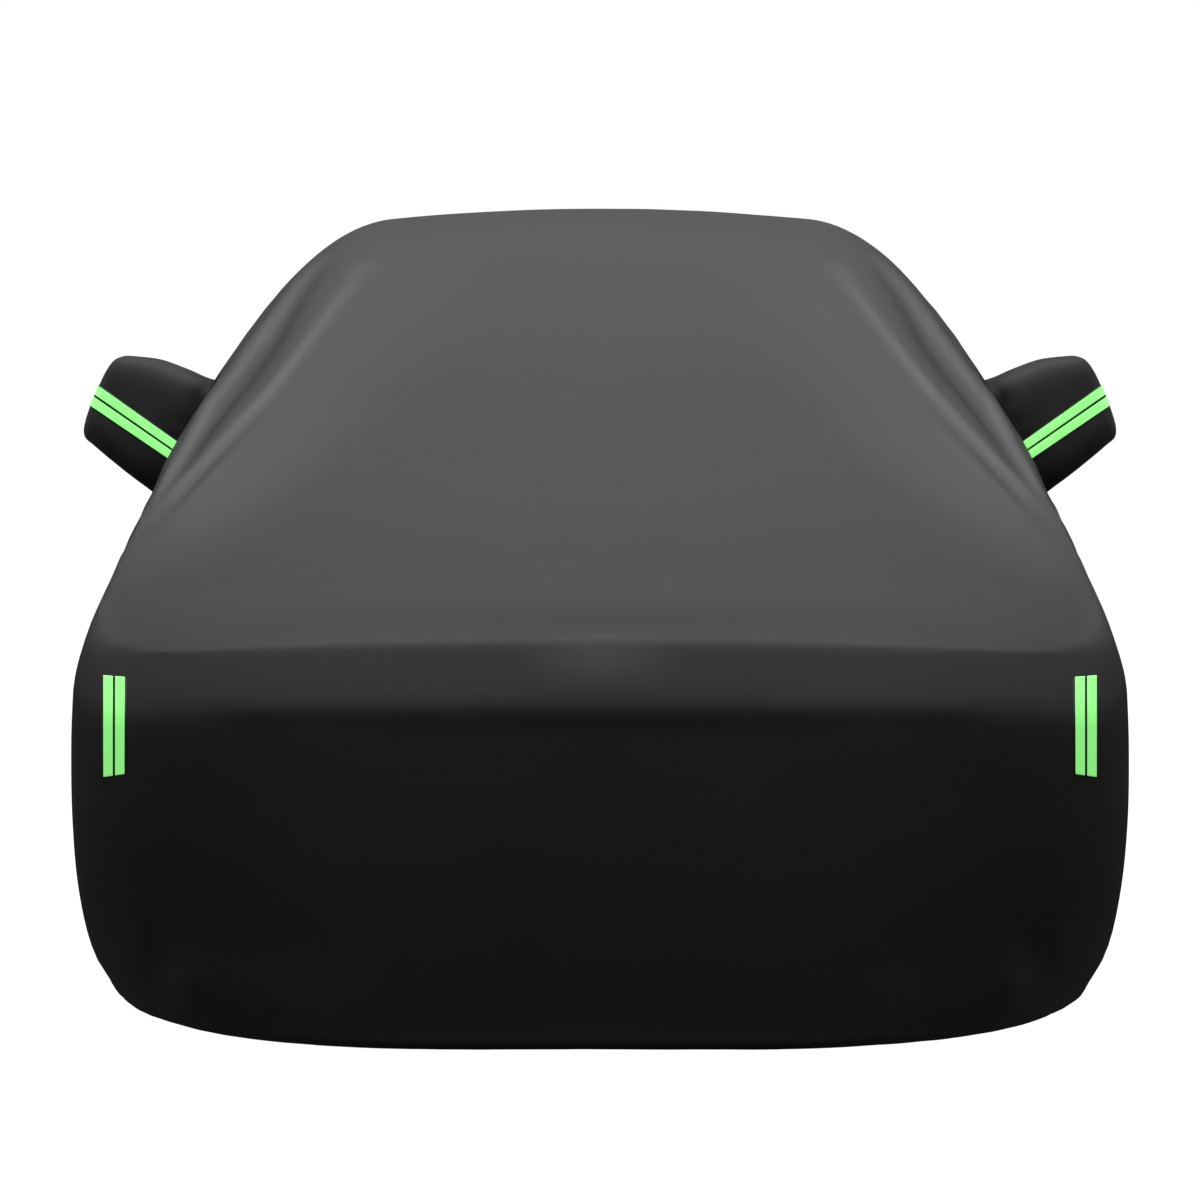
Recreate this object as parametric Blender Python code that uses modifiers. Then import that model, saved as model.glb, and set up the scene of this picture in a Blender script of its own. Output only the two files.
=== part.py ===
"""A fitted car cover, as it stands over a saloon: one body cloth with a drawn-in hem,
two mirror pockets let into its sides and four reflective strips.

The tables give distances in metres: across from the centre line, back from the foremost
point of the nose, and heights above the ground. place() turns them into the model's own
frame, whose origin lies under the cloth at the middle of the roof.
"""

import math
from collections import namedtuple

import bmesh
import bpy
from mathutils import Vector
from mathutils.geometry import intersect_point_line

# Cloth and tape
BODY_CLOTH = 0.0025
POCKET_CLOTH = 0.0020
TAPE = 0.0010
SEAT = 0.0003  # gap between a sewn piece and the cloth that carries it

# The car shape under the cloth
LENGTH = 4.66
ROOF_HEIGHT = 1.467
ROOF_BACK = 2.60  # the roof's highest point
ROOF_CROWN = 0.116  # drop of the roof towards its sides, per metre across squared
ROOF_ARCH = 0.030  # drop of the roof towards its ends, per metre squared
SIDE_SLOPE = 1.780  # rise of the cabin's sides, per metre across
SIDE_FOOT = 2.472  # height at which the two sides would meet over the centre line
SIDE_TAPER = 0.018  # the cabin's sides draw in from its widest place, per metre squared
SIDE_WIDEST = 2.20
SCREEN_BACK = 1.12  # where the windscreen starts
SCREEN_FOOT = 0.930
SCREEN_SLOPE = 0.554
REAR_BACK = 4.05  # where the rear window ends
REAR_FOOT = 0.990
REAR_SLOPE = 0.560
GLASS_BOW = 0.34  # both windows sweep towards the cabin at their sides, per metre across
ROOF_ROUND = 0.255  # how far over and under an edge the cloth rounds it off
PILLAR_ROUND = 0.10
BRIDGE = 0.21  # how far the cloth spans the hollow between body and cabin
DECK_POWER = 3.0  # flatness of bonnet and boot across
DECK_HALF = 0.865

Deck = namedtuple("Deck", "back centre edge")
DECK = (
    Deck(back=0.07, centre=0.758, edge=0.624),
    Deck(back=0.12, centre=0.773, edge=0.638),
    Deck(back=0.20, centre=0.789, edge=0.655),
    Deck(back=0.40, centre=0.822, edge=0.698),
    Deck(back=0.80, centre=0.876, edge=0.786),
    Deck(back=1.15, centre=0.910, edge=0.790),
    Deck(back=1.60, centre=0.930, edge=0.720),
    Deck(back=2.60, centre=0.950, edge=0.790),
    Deck(back=3.60, centre=0.985, edge=0.830),
    Deck(back=4.20, centre=1.000, edge=0.880),
    Deck(back=4.56, centre=0.965, edge=0.850),
)

# Outlines of the cover in plan, from the shoulder down to the hem. drop is the share of the
# way down from the shoulder, half the half-width, front and tail the clearance from the ends,
# turn the length over which a front corner rounds, flat and full its two roundness powers.
Ring = namedtuple("Ring", "drop half front tail turn flat full")
RINGS = (
    Ring(drop=0.00, half=0.864, front=0.070, tail=0.085, turn=0.68, flat=3.6, full=2.1),
    Ring(drop=0.06, half=0.881, front=0.043, tail=0.058, turn=0.68, flat=3.6, full=2.1),
    Ring(drop=0.12, half=0.893, front=0.018, tail=0.036, turn=0.67, flat=3.6, full=2.1),
    Ring(drop=0.18, half=0.900, front=0.003, tail=0.020, turn=0.66, flat=3.6, full=2.1),
    Ring(drop=0.33, half=0.905, front=0.000, tail=0.006, turn=0.66, flat=3.6, full=2.1),
    Ring(drop=0.53, half=0.904, front=0.000, tail=0.000, turn=0.67, flat=3.6, full=2.1),
    Ring(drop=0.72, half=0.896, front=0.004, tail=0.010, turn=0.70, flat=3.6, full=2.1),
    Ring(drop=0.88, half=0.880, front=0.010, tail=0.028, turn=0.76, flat=3.5, full=2.1),
    Ring(drop=1.00, half=0.862, front=0.018, tail=0.050, turn=0.95, flat=3.3, full=2.1),
)
HEM_HEIGHT = 0.108
TAIL_TURN = 0.70
CORNER = 0.86  # share of the half-width at which the front edge turns into the side

# Columns of the top, as shares of the half-width. The one at PILLAR_SHARE bends in along the
# windscreen pillar, the roof rail and the rear pillar, and the others follow it.
COLUMNS = (
    0.00, 0.12, 0.24, 0.36, 0.47, 0.57, 0.65,
    0.72, 0.75, 0.78, 0.81, 0.84, 0.88, 0.92, 0.96, 1.00,
)
PILLAR_SHARE = 0.72
Pillar = namedtuple("Pillar", "back share")
PILLAR = (
    Pillar(back=0.10, share=0.72),
    Pillar(back=0.60, share=0.76),
    Pillar(back=1.10, share=0.85),
    Pillar(back=1.37, share=0.86),
    Pillar(back=1.53, share=0.77),
    Pillar(back=1.73, share=0.66),
    Pillar(back=1.95, share=0.56),
    Pillar(back=2.30, share=0.53),
    Pillar(back=2.90, share=0.53),
    Pillar(back=3.30, share=0.58),
    Pillar(back=3.90, share=0.74),
    Pillar(back=4.56, share=0.72),
)
Band = namedtuple("Band", "start rows")  # rows of the top, closer over the pillar folds
ROWS = (
    Band(start=0.00, rows=2),
    Band(start=0.12, rows=7),
    Band(start=1.00, rows=19),
    Band(start=2.20, rows=5),
    Band(start=3.20, rows=9),
)
NOSE_BLEND = 1.30  # the rows bow with the nose over this length
TAIL_BLEND = 0.90
BLEND_POWER = 1.5  # how early the rows straighten out

# Folds of the body cloth. lift is the height over the cloth around, less than 0 in a trough,
# and spread the distance over which it fades out.
Crease = namedtuple("Crease", "across back height lift spread")
FOLDS = {
    "pillar_ridge": (
        Crease(across=0.480, back=1.96, height=1.350, lift=0.002, spread=0.045),
        Crease(across=0.548, back=1.79, height=1.245, lift=0.011, spread=0.038),
        Crease(across=0.594, back=1.70, height=1.183, lift=0.013, spread=0.034),
        Crease(across=0.687, back=1.51, height=1.057, lift=0.014, spread=0.030),
        Crease(across=0.738, back=1.43, height=1.001, lift=0.012, spread=0.028),
        Crease(across=0.787, back=1.35, height=0.945, lift=0.006, spread=0.028),
        Crease(across=0.827, back=1.28, height=0.903, lift=0.001, spread=0.030),
    ),
    "pillar_valley": (
        Crease(across=0.554, back=2.02, height=1.353, lift=-0.003, spread=0.036),
        Crease(across=0.602, back=1.89, height=1.280, lift=-0.010, spread=0.034),
        Crease(across=0.636, back=1.76, height=1.210, lift=-0.014, spread=0.032),
        Crease(across=0.678, back=1.66, height=1.140, lift=-0.014, spread=0.030),
        Crease(across=0.723, back=1.57, height=1.079, lift=-0.013, spread=0.028),
        Crease(across=0.762, back=1.47, height=1.015, lift=-0.009, spread=0.026),
        Crease(across=0.802, back=1.38, height=0.953, lift=-0.002, spread=0.026),
    ),
    "pillar_crease": (
        Crease(across=0.569, back=2.08, height=1.361, lift=0.001, spread=0.028),
        Crease(across=0.619, back=1.94, height=1.291, lift=0.007, spread=0.026),
        Crease(across=0.660, back=1.82, height=1.224, lift=0.010, spread=0.024),
        Crease(across=0.705, back=1.72, height=1.156, lift=0.010, spread=0.024),
        Crease(across=0.752, back=1.65, height=1.093, lift=0.008, spread=0.024),
        Crease(across=0.783, back=1.53, height=1.026, lift=0.003, spread=0.026),
    ),
    "screen_trough": (
        Crease(across=0.610, back=1.53, height=1.085, lift=-0.001, spread=0.030),
        Crease(across=0.655, back=1.455, height=1.038, lift=-0.007, spread=0.028),
        Crease(across=0.708, back=1.385, height=0.985, lift=-0.010, spread=0.026),
        Crease(across=0.757, back=1.285, height=0.930, lift=-0.008, spread=0.026),
        Crease(across=0.792, back=1.190, height=0.887, lift=-0.001, spread=0.028),
    ),
    "shoulder_hollow": (
        Crease(across=0.862, back=1.05, height=0.835, lift=-0.001, spread=0.060),
        Crease(across=0.862, back=1.28, height=0.873, lift=-0.012, spread=0.060),
        Crease(across=0.862, back=1.50, height=0.909, lift=-0.014, spread=0.060),
        Crease(across=0.862, back=1.80, height=0.940, lift=-0.001, spread=0.060),
    ),
    "bonnet_swell": (
        Crease(across=0.000, back=0.64, height=0.848, lift=0.006, spread=0.130),
        Crease(across=0.200, back=0.66, height=0.850, lift=0.003, spread=0.110),
    ),
    "nose_bump": (
        Crease(across=0.000, back=0.060, height=0.742, lift=0.008, spread=0.045),
        Crease(across=0.070, back=0.060, height=0.740, lift=0.004, spread=0.045),
    ),
    "nose_hollow": (
        Crease(across=0.000, back=0.00, height=0.480, lift=-0.004, spread=0.110),
        Crease(across=0.000, back=0.00, height=0.180, lift=-0.010, spread=0.190),
    ),
    "corner_streak": (
        Crease(across=0.730, back=0.28, height=0.144, lift=0.002, spread=0.040),
        Crease(across=0.669, back=0.15, height=0.222, lift=0.009, spread=0.040),
        Crease(across=0.590, back=0.09, height=0.310, lift=0.001, spread=0.050),
    ),
    "corner_trough": (
        Crease(across=0.780, back=0.34, height=0.164, lift=-0.002, spread=0.040),
        Crease(across=0.736, back=0.22, height=0.215, lift=-0.009, spread=0.045),
        Crease(across=0.680, back=0.15, height=0.320, lift=-0.001, spread=0.050),
    ),
}

# Cross-sections of a mirror pocket, from its seam allowance inside the body cloth to its
# closed end: centre of the section, its half-height and half-depth, and its lean in degrees.
Section = namedtuple("Section", "across back height tall deep lean")
POCKET = (
    Section(across=0.755, back=1.810, height=0.989, tall=0.137, deep=0.112, lean=29.0),
    Section(across=0.820, back=1.810, height=1.022, tall=0.122, deep=0.102, lean=29.0),
    Section(across=0.862, back=1.815, height=1.045, tall=0.116, deep=0.095, lean=27.5),
    Section(across=0.907, back=1.820, height=1.069, tall=0.108, deep=0.086, lean=25.5),
    Section(across=0.948, back=1.825, height=1.086, tall=0.095, deep=0.078, lean=24.0),
    Section(across=0.969, back=1.827, height=1.093, tall=0.087, deep=0.072, lean=23.3),
    Section(across=0.979, back=1.828, height=1.097, tall=0.073, deep=0.060, lean=23.3),
    Section(across=0.984, back=1.828, height=1.099, tall=0.047, deep=0.038, lean=23.3),
    Section(across=0.985, back=1.828, height=1.099, tall=0.018, deep=0.015, lean=23.3),
)
POCKET_SIDES = 28
POCKET_POWER = 3.6  # 2 is an oval section, more is squarer
PLUG_SECTIONS = 4  # the sections that pass through the body cloth
SEAM_ALLOWANCE = 0.010
WALL_DEPTH = 0.30
WALL_REACH = 0.25  # size of the piece of side cloth used to trim a pocket

# Reflective strips, laid straight as seen from EYE, a point in front of the nose: the slopes
# across and up of the lines from EYE to their corners, and how far back they reach
Eye = namedtuple("Eye", "back height")
EYE = Eye(back=-7.50, height=1.38)
Corner = namedtuple("Corner", "across up")
FRONT_STRIP = (
    Corner(across=0.1048, up=-0.0894),
    Corner(across=0.0998, up=-0.0898),
    Corner(across=0.1000, up=-0.1102),
    Corner(across=0.1049, up=-0.1109),
)
FRONT_STRIP_BACK = (0.10, 0.45)
MIRROR_STRIP = (
    Corner(across=0.1063, up=-0.0273),
    Corner(across=0.0862, up=-0.0417),
    Corner(across=0.0880, up=-0.0457),
    Corner(across=0.1084, up=-0.0318),
)
MIRROR_STRIP_BACK = (1.60, 1.800)

# Colour, roughness and metallic value of each material
BLACK_CLOTH = ("black_cloth", (0.016, 0.016, 0.017), 0.62, 0.0)
GREEN_TAPE = ("green_tape", (0.33, 0.95, 0.28), 0.38, 0.0)


def place(across, back, height):
    return Vector((across, back - ROOF_BACK, height - ROOF_HEIGHT + BODY_CLOTH))


def smooth_through(table, column, back):
    """The value of a table's column at this distance back, on a smooth curve through its rows."""
    at = [row.back for row in table]
    values = [getattr(row, column) for row in table]
    if back <= at[0]:
        return values[0]
    if back >= at[-1]:
        return values[-1]
    k = max(i for i in range(len(at) - 1) if at[i] <= back)
    span = at[k + 1] - at[k]
    slopes = []
    for i in (k, k + 1):
        low, high = max(i - 1, 0), min(i + 1, len(at) - 1)
        slopes.append((values[high] - values[low]) / (at[high] - at[low]))
    t = (back - at[k]) / span
    return (
        (2 * t**3 - 3 * t**2 + 1) * values[k]
        + (t**3 - 2 * t**2 + t) * span * slopes[0]
        + (3 * t**2 - 2 * t**3) * values[k + 1]
        + (t**3 - t**2) * span * slopes[1]
    )


def lower_of(a, b, rounding):
    """The lower of two heights, rounded off where they are within rounding of each other."""
    near = max(rounding - abs(a - b), 0.0) / rounding
    return min(a, b) - near * near * rounding / 4


def higher_of(a, b, rounding):
    return -lower_of(-a, -b, rounding)


def top_height(across, back):
    """Height of the draped top: body and cabin, with the cloth stretched between them."""
    x = abs(across)
    centre = smooth_through(DECK, "centre", back)
    edge = smooth_through(DECK, "edge", back)
    deck = centre - (centre - edge) * (x / DECK_HALF) ** DECK_POWER
    roof = ROOF_HEIGHT - ROOF_CROWN * x * x - ROOF_ARCH * (back - ROOF_BACK) ** 2
    side = SIDE_FOOT - SIDE_SLOPE * (x + SIDE_TAPER * (back - SIDE_WIDEST) ** 2)
    screen = SCREEN_FOOT + SCREEN_SLOPE * (back - SCREEN_BACK - GLASS_BOW * x * x)
    rear = REAR_FOOT + REAR_SLOPE * (REAR_BACK - back - GLASS_BOW * x * x)
    cabin = lower_of(roof, side, ROOF_ROUND)
    cabin = lower_of(cabin, screen, PILLAR_ROUND)
    cabin = lower_of(cabin, rear, PILLAR_ROUND)
    return higher_of(deck, cabin, BRIDGE)


def turn_in(ring, across):
    """How far back an end's edge has turned at this distance across, as a share of its turn."""
    left = max(1 - (abs(across) / ring.half) ** ring.flat, 0.0)
    return 1 - left ** (1 / ring.full)


def front_back(ring, across):
    return ring.front + ring.turn * turn_in(ring, across)


def tail_back(ring, across):
    return LENGTH - ring.tail - TAIL_TURN * turn_in(ring, across)


def side_across(ring, back):
    """Half-width of this ring at this distance back."""
    from_front = max(ring.front + ring.turn - back, 0.0) / ring.turn
    from_tail = max(back - (LENGTH - ring.tail - TAIL_TURN), 0.0) / TAIL_TURN
    left = 1 - max(from_front, from_tail) ** ring.full
    return ring.half * max(left, 0.0) ** (1 / ring.flat)


def row_backs():
    """Distance back of each row of the top, at its centre line."""
    starts = [band.start for band in ROWS]
    starts[0] = RINGS[0].front
    ends = starts[1:] + [LENGTH - RINGS[0].tail]
    backs = []
    for band, start, end in zip(ROWS, starts, ends):
        backs += [start + (end - start) * k / band.rows for k in range(band.rows)]
    return backs + [ends[-1]]


def bend_of(back):
    """How much further back a row lies at its side than at its centre: the nose and tail bow."""
    top = RINGS[0]
    bow = turn_in(top, CORNER * top.half)
    nose = max(1 - (back - top.front) / NOSE_BLEND, 0.0)
    tail = max(1 - (LENGTH - top.tail - back) / TAIL_BLEND, 0.0)
    return bow * (top.turn * nose**BLEND_POWER - TAIL_TURN * tail**BLEND_POWER)


def outline(ring, backs):
    """Half a ring, as distances across and back: front centre, corner, side, corner, tail centre."""
    corner = CORNER * ring.half
    first, last = front_back(ring, corner), tail_back(ring, corner)
    side = [back + bend_of(back) for back in backs]
    points = [(share * corner, front_back(ring, share * corner)) for share in COLUMNS]
    for back in side[1:-1]:
        at = first + (last - first) * (back - side[0]) / (side[-1] - side[0])
        points.append((side_across(ring, at), at))
    points += [(share * corner, tail_back(ring, share * corner)) for share in reversed(COLUMNS)]
    return points


def column_share(share, back):
    pillar = smooth_through(PILLAR, "share", back)
    if share <= PILLAR_SHARE:
        return share * pillar / PILLAR_SHARE
    return pillar + (1 - pillar) * (share - PILLAR_SHARE) / (1 - PILLAR_SHARE)


def top_grid(bm, backs, rim):
    """Vertices of the draped top by column and row. Its outer ones lie on the first ring."""
    top = RINGS[0]
    corner = CORNER * top.half
    grid = {}
    for j, back in enumerate(backs):
        edge_across = rim[len(COLUMNS) - 1 + j][0]
        for i, share in enumerate(COLUMNS):
            across = column_share(share, back) * edge_across
            bow = turn_in(top, share * corner) / turn_in(top, corner)
            at = back + bend_of(back) * bow
            grid[i, j] = bm.verts.new(place(across, at, top_height(across, at)))
    return grid


def half_body(bm):
    """The right half of the body cloth: a grid over the top and rows of skirt round it."""
    backs = row_backs()
    rim = outline(RINGS[0], backs)
    grid = top_grid(bm, backs, rim)
    last_column, last_row = len(COLUMNS) - 1, len(backs) - 1
    for j in range(last_row):
        for i in range(last_column):
            bm.faces.new((grid[i, j], grid[i + 1, j], grid[i + 1, j + 1], grid[i, j + 1]))
    above = [grid[i, 0] for i in range(last_column + 1)]
    above += [grid[last_column, j] for j in range(1, last_row)]
    above += [grid[i, last_row] for i in range(last_column, -1, -1)]
    shoulder = [top_height(across, back) for across, back in rim]
    for ring in RINGS[1:]:
        below = []
        for (across, back), height in zip(outline(ring, backs), shoulder):
            low = height + (HEM_HEIGHT - height) * ring.drop
            below.append(bm.verts.new(place(across, back, low)))
        for k in range(len(above) - 1):
            bm.faces.new((above[k], below[k], below[k + 1], above[k + 1]))
        above = below


def fold_lift(point, creases):
    """How far one fold lifts the cloth at this point."""
    best, lift = None, 0.0
    for start, end in zip(creases, creases[1:]):
        a = place(start.across, start.back, start.height)
        b = place(end.across, end.back, end.height)
        nearest, share = intersect_point_line(point, a, b)
        share = min(max(share, 0.0), 1.0)
        nearest = a.lerp(b, share)
        spread = start.spread + (end.spread - start.spread) * share
        distance = (point - nearest).length / spread
        if best is None or distance < best:
            best = distance
            lift = (start.lift + (end.lift - start.lift) * share) * math.exp(-distance**2)
    return lift


def raise_folds(bm):
    bm.normal_update()
    moves = []
    for vert in bm.verts:
        normal = vert.normal.copy()
        if vert.co.x < SEAT:
            normal.x = 0.0  # the halves meet here
            normal.normalize()
        moves.append(normal * sum(fold_lift(vert.co, fold) for fold in FOLDS.values()))
    for vert, move in zip(bm.verts, moves):
        vert.co += move


def body_surface():
    """The outer face of the right half of the body cloth."""
    bm = bmesh.new()
    half_body(bm)
    raise_folds(bm)
    return bm


def section_points(section, grow):
    """Points round one section of a pocket, seen from its closed end."""
    lean = math.radians(section.lean)
    centre = place(section.across, section.back, section.height)
    up = Vector((-math.sin(lean), 0.0, math.cos(lean)))
    points = []
    for k in range(POCKET_SIDES):
        angle = math.tau * (k + 0.5) / POCKET_SIDES
        c, s = math.cos(angle), math.sin(angle)
        reach = (abs(c) ** POCKET_POWER + abs(s) ** POCKET_POWER) ** (-1 / POCKET_POWER)
        deep = (section.deep + grow) * reach * c
        tall = (section.tall + grow) * reach * s
        points.append(centre + Vector((0.0, deep, 0.0)) + up * tall)
    return points


def loft(bm, rings):
    """Quads between rings of points, first to last, and the rings' vertices."""
    loops = [[bm.verts.new(point) for point in ring] for ring in rings]
    for low, high in zip(loops, loops[1:]):
        for k in range(len(low)):
            n = (k + 1) % len(low)
            bm.faces.new((low[k], low[n], high[n], high[k]))
    return loops


def pocket_surface():
    """The outer face of the right pocket, open at the body and closed at its end."""
    bm = bmesh.new()
    loops = loft(bm, [section_points(section, 0.0) for section in POCKET])
    end = loops[-1]
    middle = bm.verts.new(sum((vert.co for vert in end), Vector()) / len(end))
    for k, vert in enumerate(end):
        bm.faces.new((vert, end[(k + 1) % len(end)], middle))
    return bm


def plug_solid():
    """The hole that a pocket needs in the body cloth, as a closed solid."""
    bm = bmesh.new()
    loops = loft(bm, [section_points(section, SEAT) for section in POCKET[:PLUG_SECTIONS]])
    bm.faces.new(reversed(loops[0]))
    bm.faces.new(loops[-1])
    return bm


def keep_faces(bm, wanted):
    bmesh.ops.delete(bm, geom=[face for face in bm.faces if not wanted(face)], context="FACES")


def lift_cloth(bm, distance):
    """Moves a surface out from the cloth it was copied from, along that cloth's own normals."""
    bm.normal_update()
    for vert, normal in [(vert, vert.normal.copy()) for vert in bm.verts]:
        vert.co += normal * distance


def wall_solid(lift):
    """The side cloth round a pocket, moved out by lift and run straight in as a closed solid."""
    centre = place(POCKET[1].across, POCKET[1].back, POCKET[1].height)
    bm = body_surface()
    lift_cloth(bm, lift)
    keep_faces(bm, lambda face: (face.calc_center_median() - centre).length < WALL_REACH)
    made = bmesh.ops.extrude_face_region(bm, geom=list(bm.faces), use_keep_orig=True)
    inner = [item for item in made["geom"] if isinstance(item, bmesh.types.BMVert)]
    bmesh.ops.translate(bm, verts=inner, vec=(-WALL_DEPTH, 0.0, 0.0))
    bmesh.ops.recalc_face_normals(bm, faces=bm.faces)
    return bm


def seen_point(corner, back):
    """The point at this distance back on the line from EYE through a strip's corner."""
    away = back - EYE.back
    return place(corner.across * away, back, EYE.height + corner.up * away)


def prism_solid(corners, backs):
    """An outline seen from EYE, run back from the first of two distances to the second."""
    bm = bmesh.new()
    loops = loft(bm, [[seen_point(corner, back) for corner in corners] for back in backs])
    bm.faces.new(reversed(loops[0]))
    bm.faces.new(loops[-1])
    bmesh.ops.recalc_face_normals(bm, faces=bm.faces)
    return bm


def material(name, colour, roughness, metallic):
    made = bpy.data.materials.new(name)
    made.use_nodes = True
    shader = made.node_tree.nodes["Principled BSDF"]
    shader.inputs["Base Color"].default_value = (*colour, 1.0)
    shader.inputs["Roughness"].default_value = roughness
    shader.inputs["Metallic"].default_value = metallic
    made.diffuse_color = (*colour, 1.0)
    return made


def new_object(name, bm, collection, mirrored=False):
    """The mesh as an object, turned over to the left side where mirrored is set."""
    if mirrored:
        for vert in bm.verts:
            vert.co.x = -vert.co.x
        bmesh.ops.reverse_faces(bm, faces=bm.faces)
    mesh = bpy.data.meshes.new(name)
    bm.to_mesh(mesh)
    bm.free()
    mesh.shade_smooth()
    obj = bpy.data.objects.new(name, mesh)
    collection.objects.link(obj)
    return obj


def cutter(name, bm, collection, mirrored):
    obj = new_object(name, bm, collection, mirrored)
    obj.hide_render = True
    obj.display_type = "WIRE"
    return obj


def thicken(obj, thickness, offset):
    thick = obj.modifiers.new("cloth", "SOLIDIFY")
    thick.thickness = thickness
    thick.offset = offset
    thick.use_even_offset = True


def combine(obj, other, operation):
    cut = obj.modifiers.new(f"{operation.lower()}_{other.name}", "BOOLEAN")
    cut.operation = operation
    cut.object = other


def add_body(parts, cloth):
    body = new_object("body_cloth", body_surface(), parts)
    both = body.modifiers.new("both_sides", "MIRROR")
    both.merge_threshold = 0.0001
    thicken(body, BODY_CLOTH, -1)
    body.data.materials.append(cloth)
    return body


def add_pocket(side, mirrored, parts, cutters, cloth, body):
    pocket = new_object(f"mirror_pocket_{side}", pocket_surface(), parts, mirrored)
    thicken(pocket, POCKET_CLOTH, -1)
    inside = cutter(f"inside_{side}", wall_solid(-BODY_CLOTH - SEAM_ALLOWANCE), cutters, mirrored)
    combine(pocket, inside, "DIFFERENCE")
    plug = cutter(f"plug_{side}", plug_solid(), cutters, mirrored)
    combine(body, plug, "DIFFERENCE")
    pocket.data.materials.append(cloth)


def add_strip(name, surface, prism, mirrored, parts, cutters, tape):
    """A tape cut from a layer that lies over its cloth by the usual gap."""
    lift_cloth(surface, SEAT)
    strip = new_object(name, surface, parts, mirrored)
    thicken(strip, TAPE, 1)
    shape = cutter(f"{name}_shape", prism, cutters, mirrored)
    combine(strip, shape, "INTERSECT")
    strip.data.materials.append(tape)
    return strip


def main():
    for obj in list(bpy.data.objects):
        bpy.data.objects.remove(obj)
    parts = bpy.data.collections.new("car_cover")
    cutters = bpy.data.collections.new("cutters")
    bpy.context.scene.collection.children.link(parts)
    bpy.context.scene.collection.children.link(cutters)
    cloth = material(*BLACK_CLOTH)
    tape = material(*GREEN_TAPE)
    body = add_body(parts, cloth)
    for side, mirrored in (("left", True), ("right", False)):
        add_pocket(side, mirrored, parts, cutters, cloth, body)
        front = prism_solid(FRONT_STRIP, FRONT_STRIP_BACK)
        add_strip(f"front_strip_{side}", body_surface(), front, mirrored, parts, cutters, tape)
        across = prism_solid(MIRROR_STRIP, MIRROR_STRIP_BACK)
        name = f"mirror_strip_{side}"
        strip = add_strip(name, pocket_surface(), across, mirrored, parts, cutters, tape)
        wall = cutter(f"wall_{side}", wall_solid(SEAT), cutters, mirrored)
        combine(strip, wall, "DIFFERENCE")


main()
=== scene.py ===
import math
from collections import namedtuple

import bmesh
import bpy
import numpy as np
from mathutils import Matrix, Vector, noise
from mathutils.bvhtree import BVHTree
from mathutils.kdtree import KDTree


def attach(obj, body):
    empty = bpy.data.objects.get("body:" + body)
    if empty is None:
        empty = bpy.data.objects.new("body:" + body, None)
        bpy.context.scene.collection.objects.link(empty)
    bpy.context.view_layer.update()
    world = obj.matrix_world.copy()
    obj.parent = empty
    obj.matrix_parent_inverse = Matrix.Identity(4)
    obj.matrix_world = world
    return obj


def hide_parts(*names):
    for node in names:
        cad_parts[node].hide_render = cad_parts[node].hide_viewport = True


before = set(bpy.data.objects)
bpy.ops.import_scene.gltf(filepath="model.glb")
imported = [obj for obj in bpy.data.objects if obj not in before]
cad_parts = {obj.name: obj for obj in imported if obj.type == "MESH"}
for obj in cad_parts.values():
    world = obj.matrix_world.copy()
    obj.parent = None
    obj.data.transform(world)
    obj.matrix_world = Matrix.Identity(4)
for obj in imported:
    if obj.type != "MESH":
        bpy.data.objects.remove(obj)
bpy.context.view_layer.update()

print("car cover: packed frame loaded")


# adds a node to a tree, sets it, and gives its sockets their values or links
def addNode(tree, kind, settings=None, sockets=None):
    made = tree.nodes.new(kind)
    for name, value in (settings or {}).items():
        setattr(made, name, value)
    for key, value in (sockets or {}).items():
        if isinstance(value, bpy.types.NodeSocket):
            tree.links.new(value, made.inputs[key])
        else:
            made.inputs[key].default_value = value
    return made


# one value or colour inside a material, so that its maths reads as plain expressions
class Wire:
    def __init__(self, recipe, socket):
        self.recipe = recipe
        self.socket = socket

    def maths(self, operation, *values):
        return self.recipe.node("ShaderNodeMath", {"operation": operation}, dict(enumerate(values)))

    def __add__(self, other):
        return self.maths("ADD", self, other)

    def __sub__(self, other):
        return self.maths("SUBTRACT", self, other)

    def __mul__(self, other):
        return self.maths("MULTIPLY", self, other)

    def __radd__(self, other):
        return self.maths("ADD", other, self)

    def __rsub__(self, other):
        return self.maths("SUBTRACT", other, self)

    def __rmul__(self, other):
        return self.maths("MULTIPLY", other, self)

    def __abs__(self):
        return self.maths("ABSOLUTE", self)

    def sine(self):
        return self.maths("SINE", self)

    def floor(self):
        return self.maths("FLOOR", self)

    def above(self, limit):
        return self.maths("GREATER_THAN", self, limit)

    def larger(self, other):
        return self.maths("MAXIMUM", self, other)

    def smaller(self, other):
        return self.maths("MINIMUM", self, other)

    def wrapped(self, length):
        return self.maths("FLOORED_MODULO", self, length)


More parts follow.
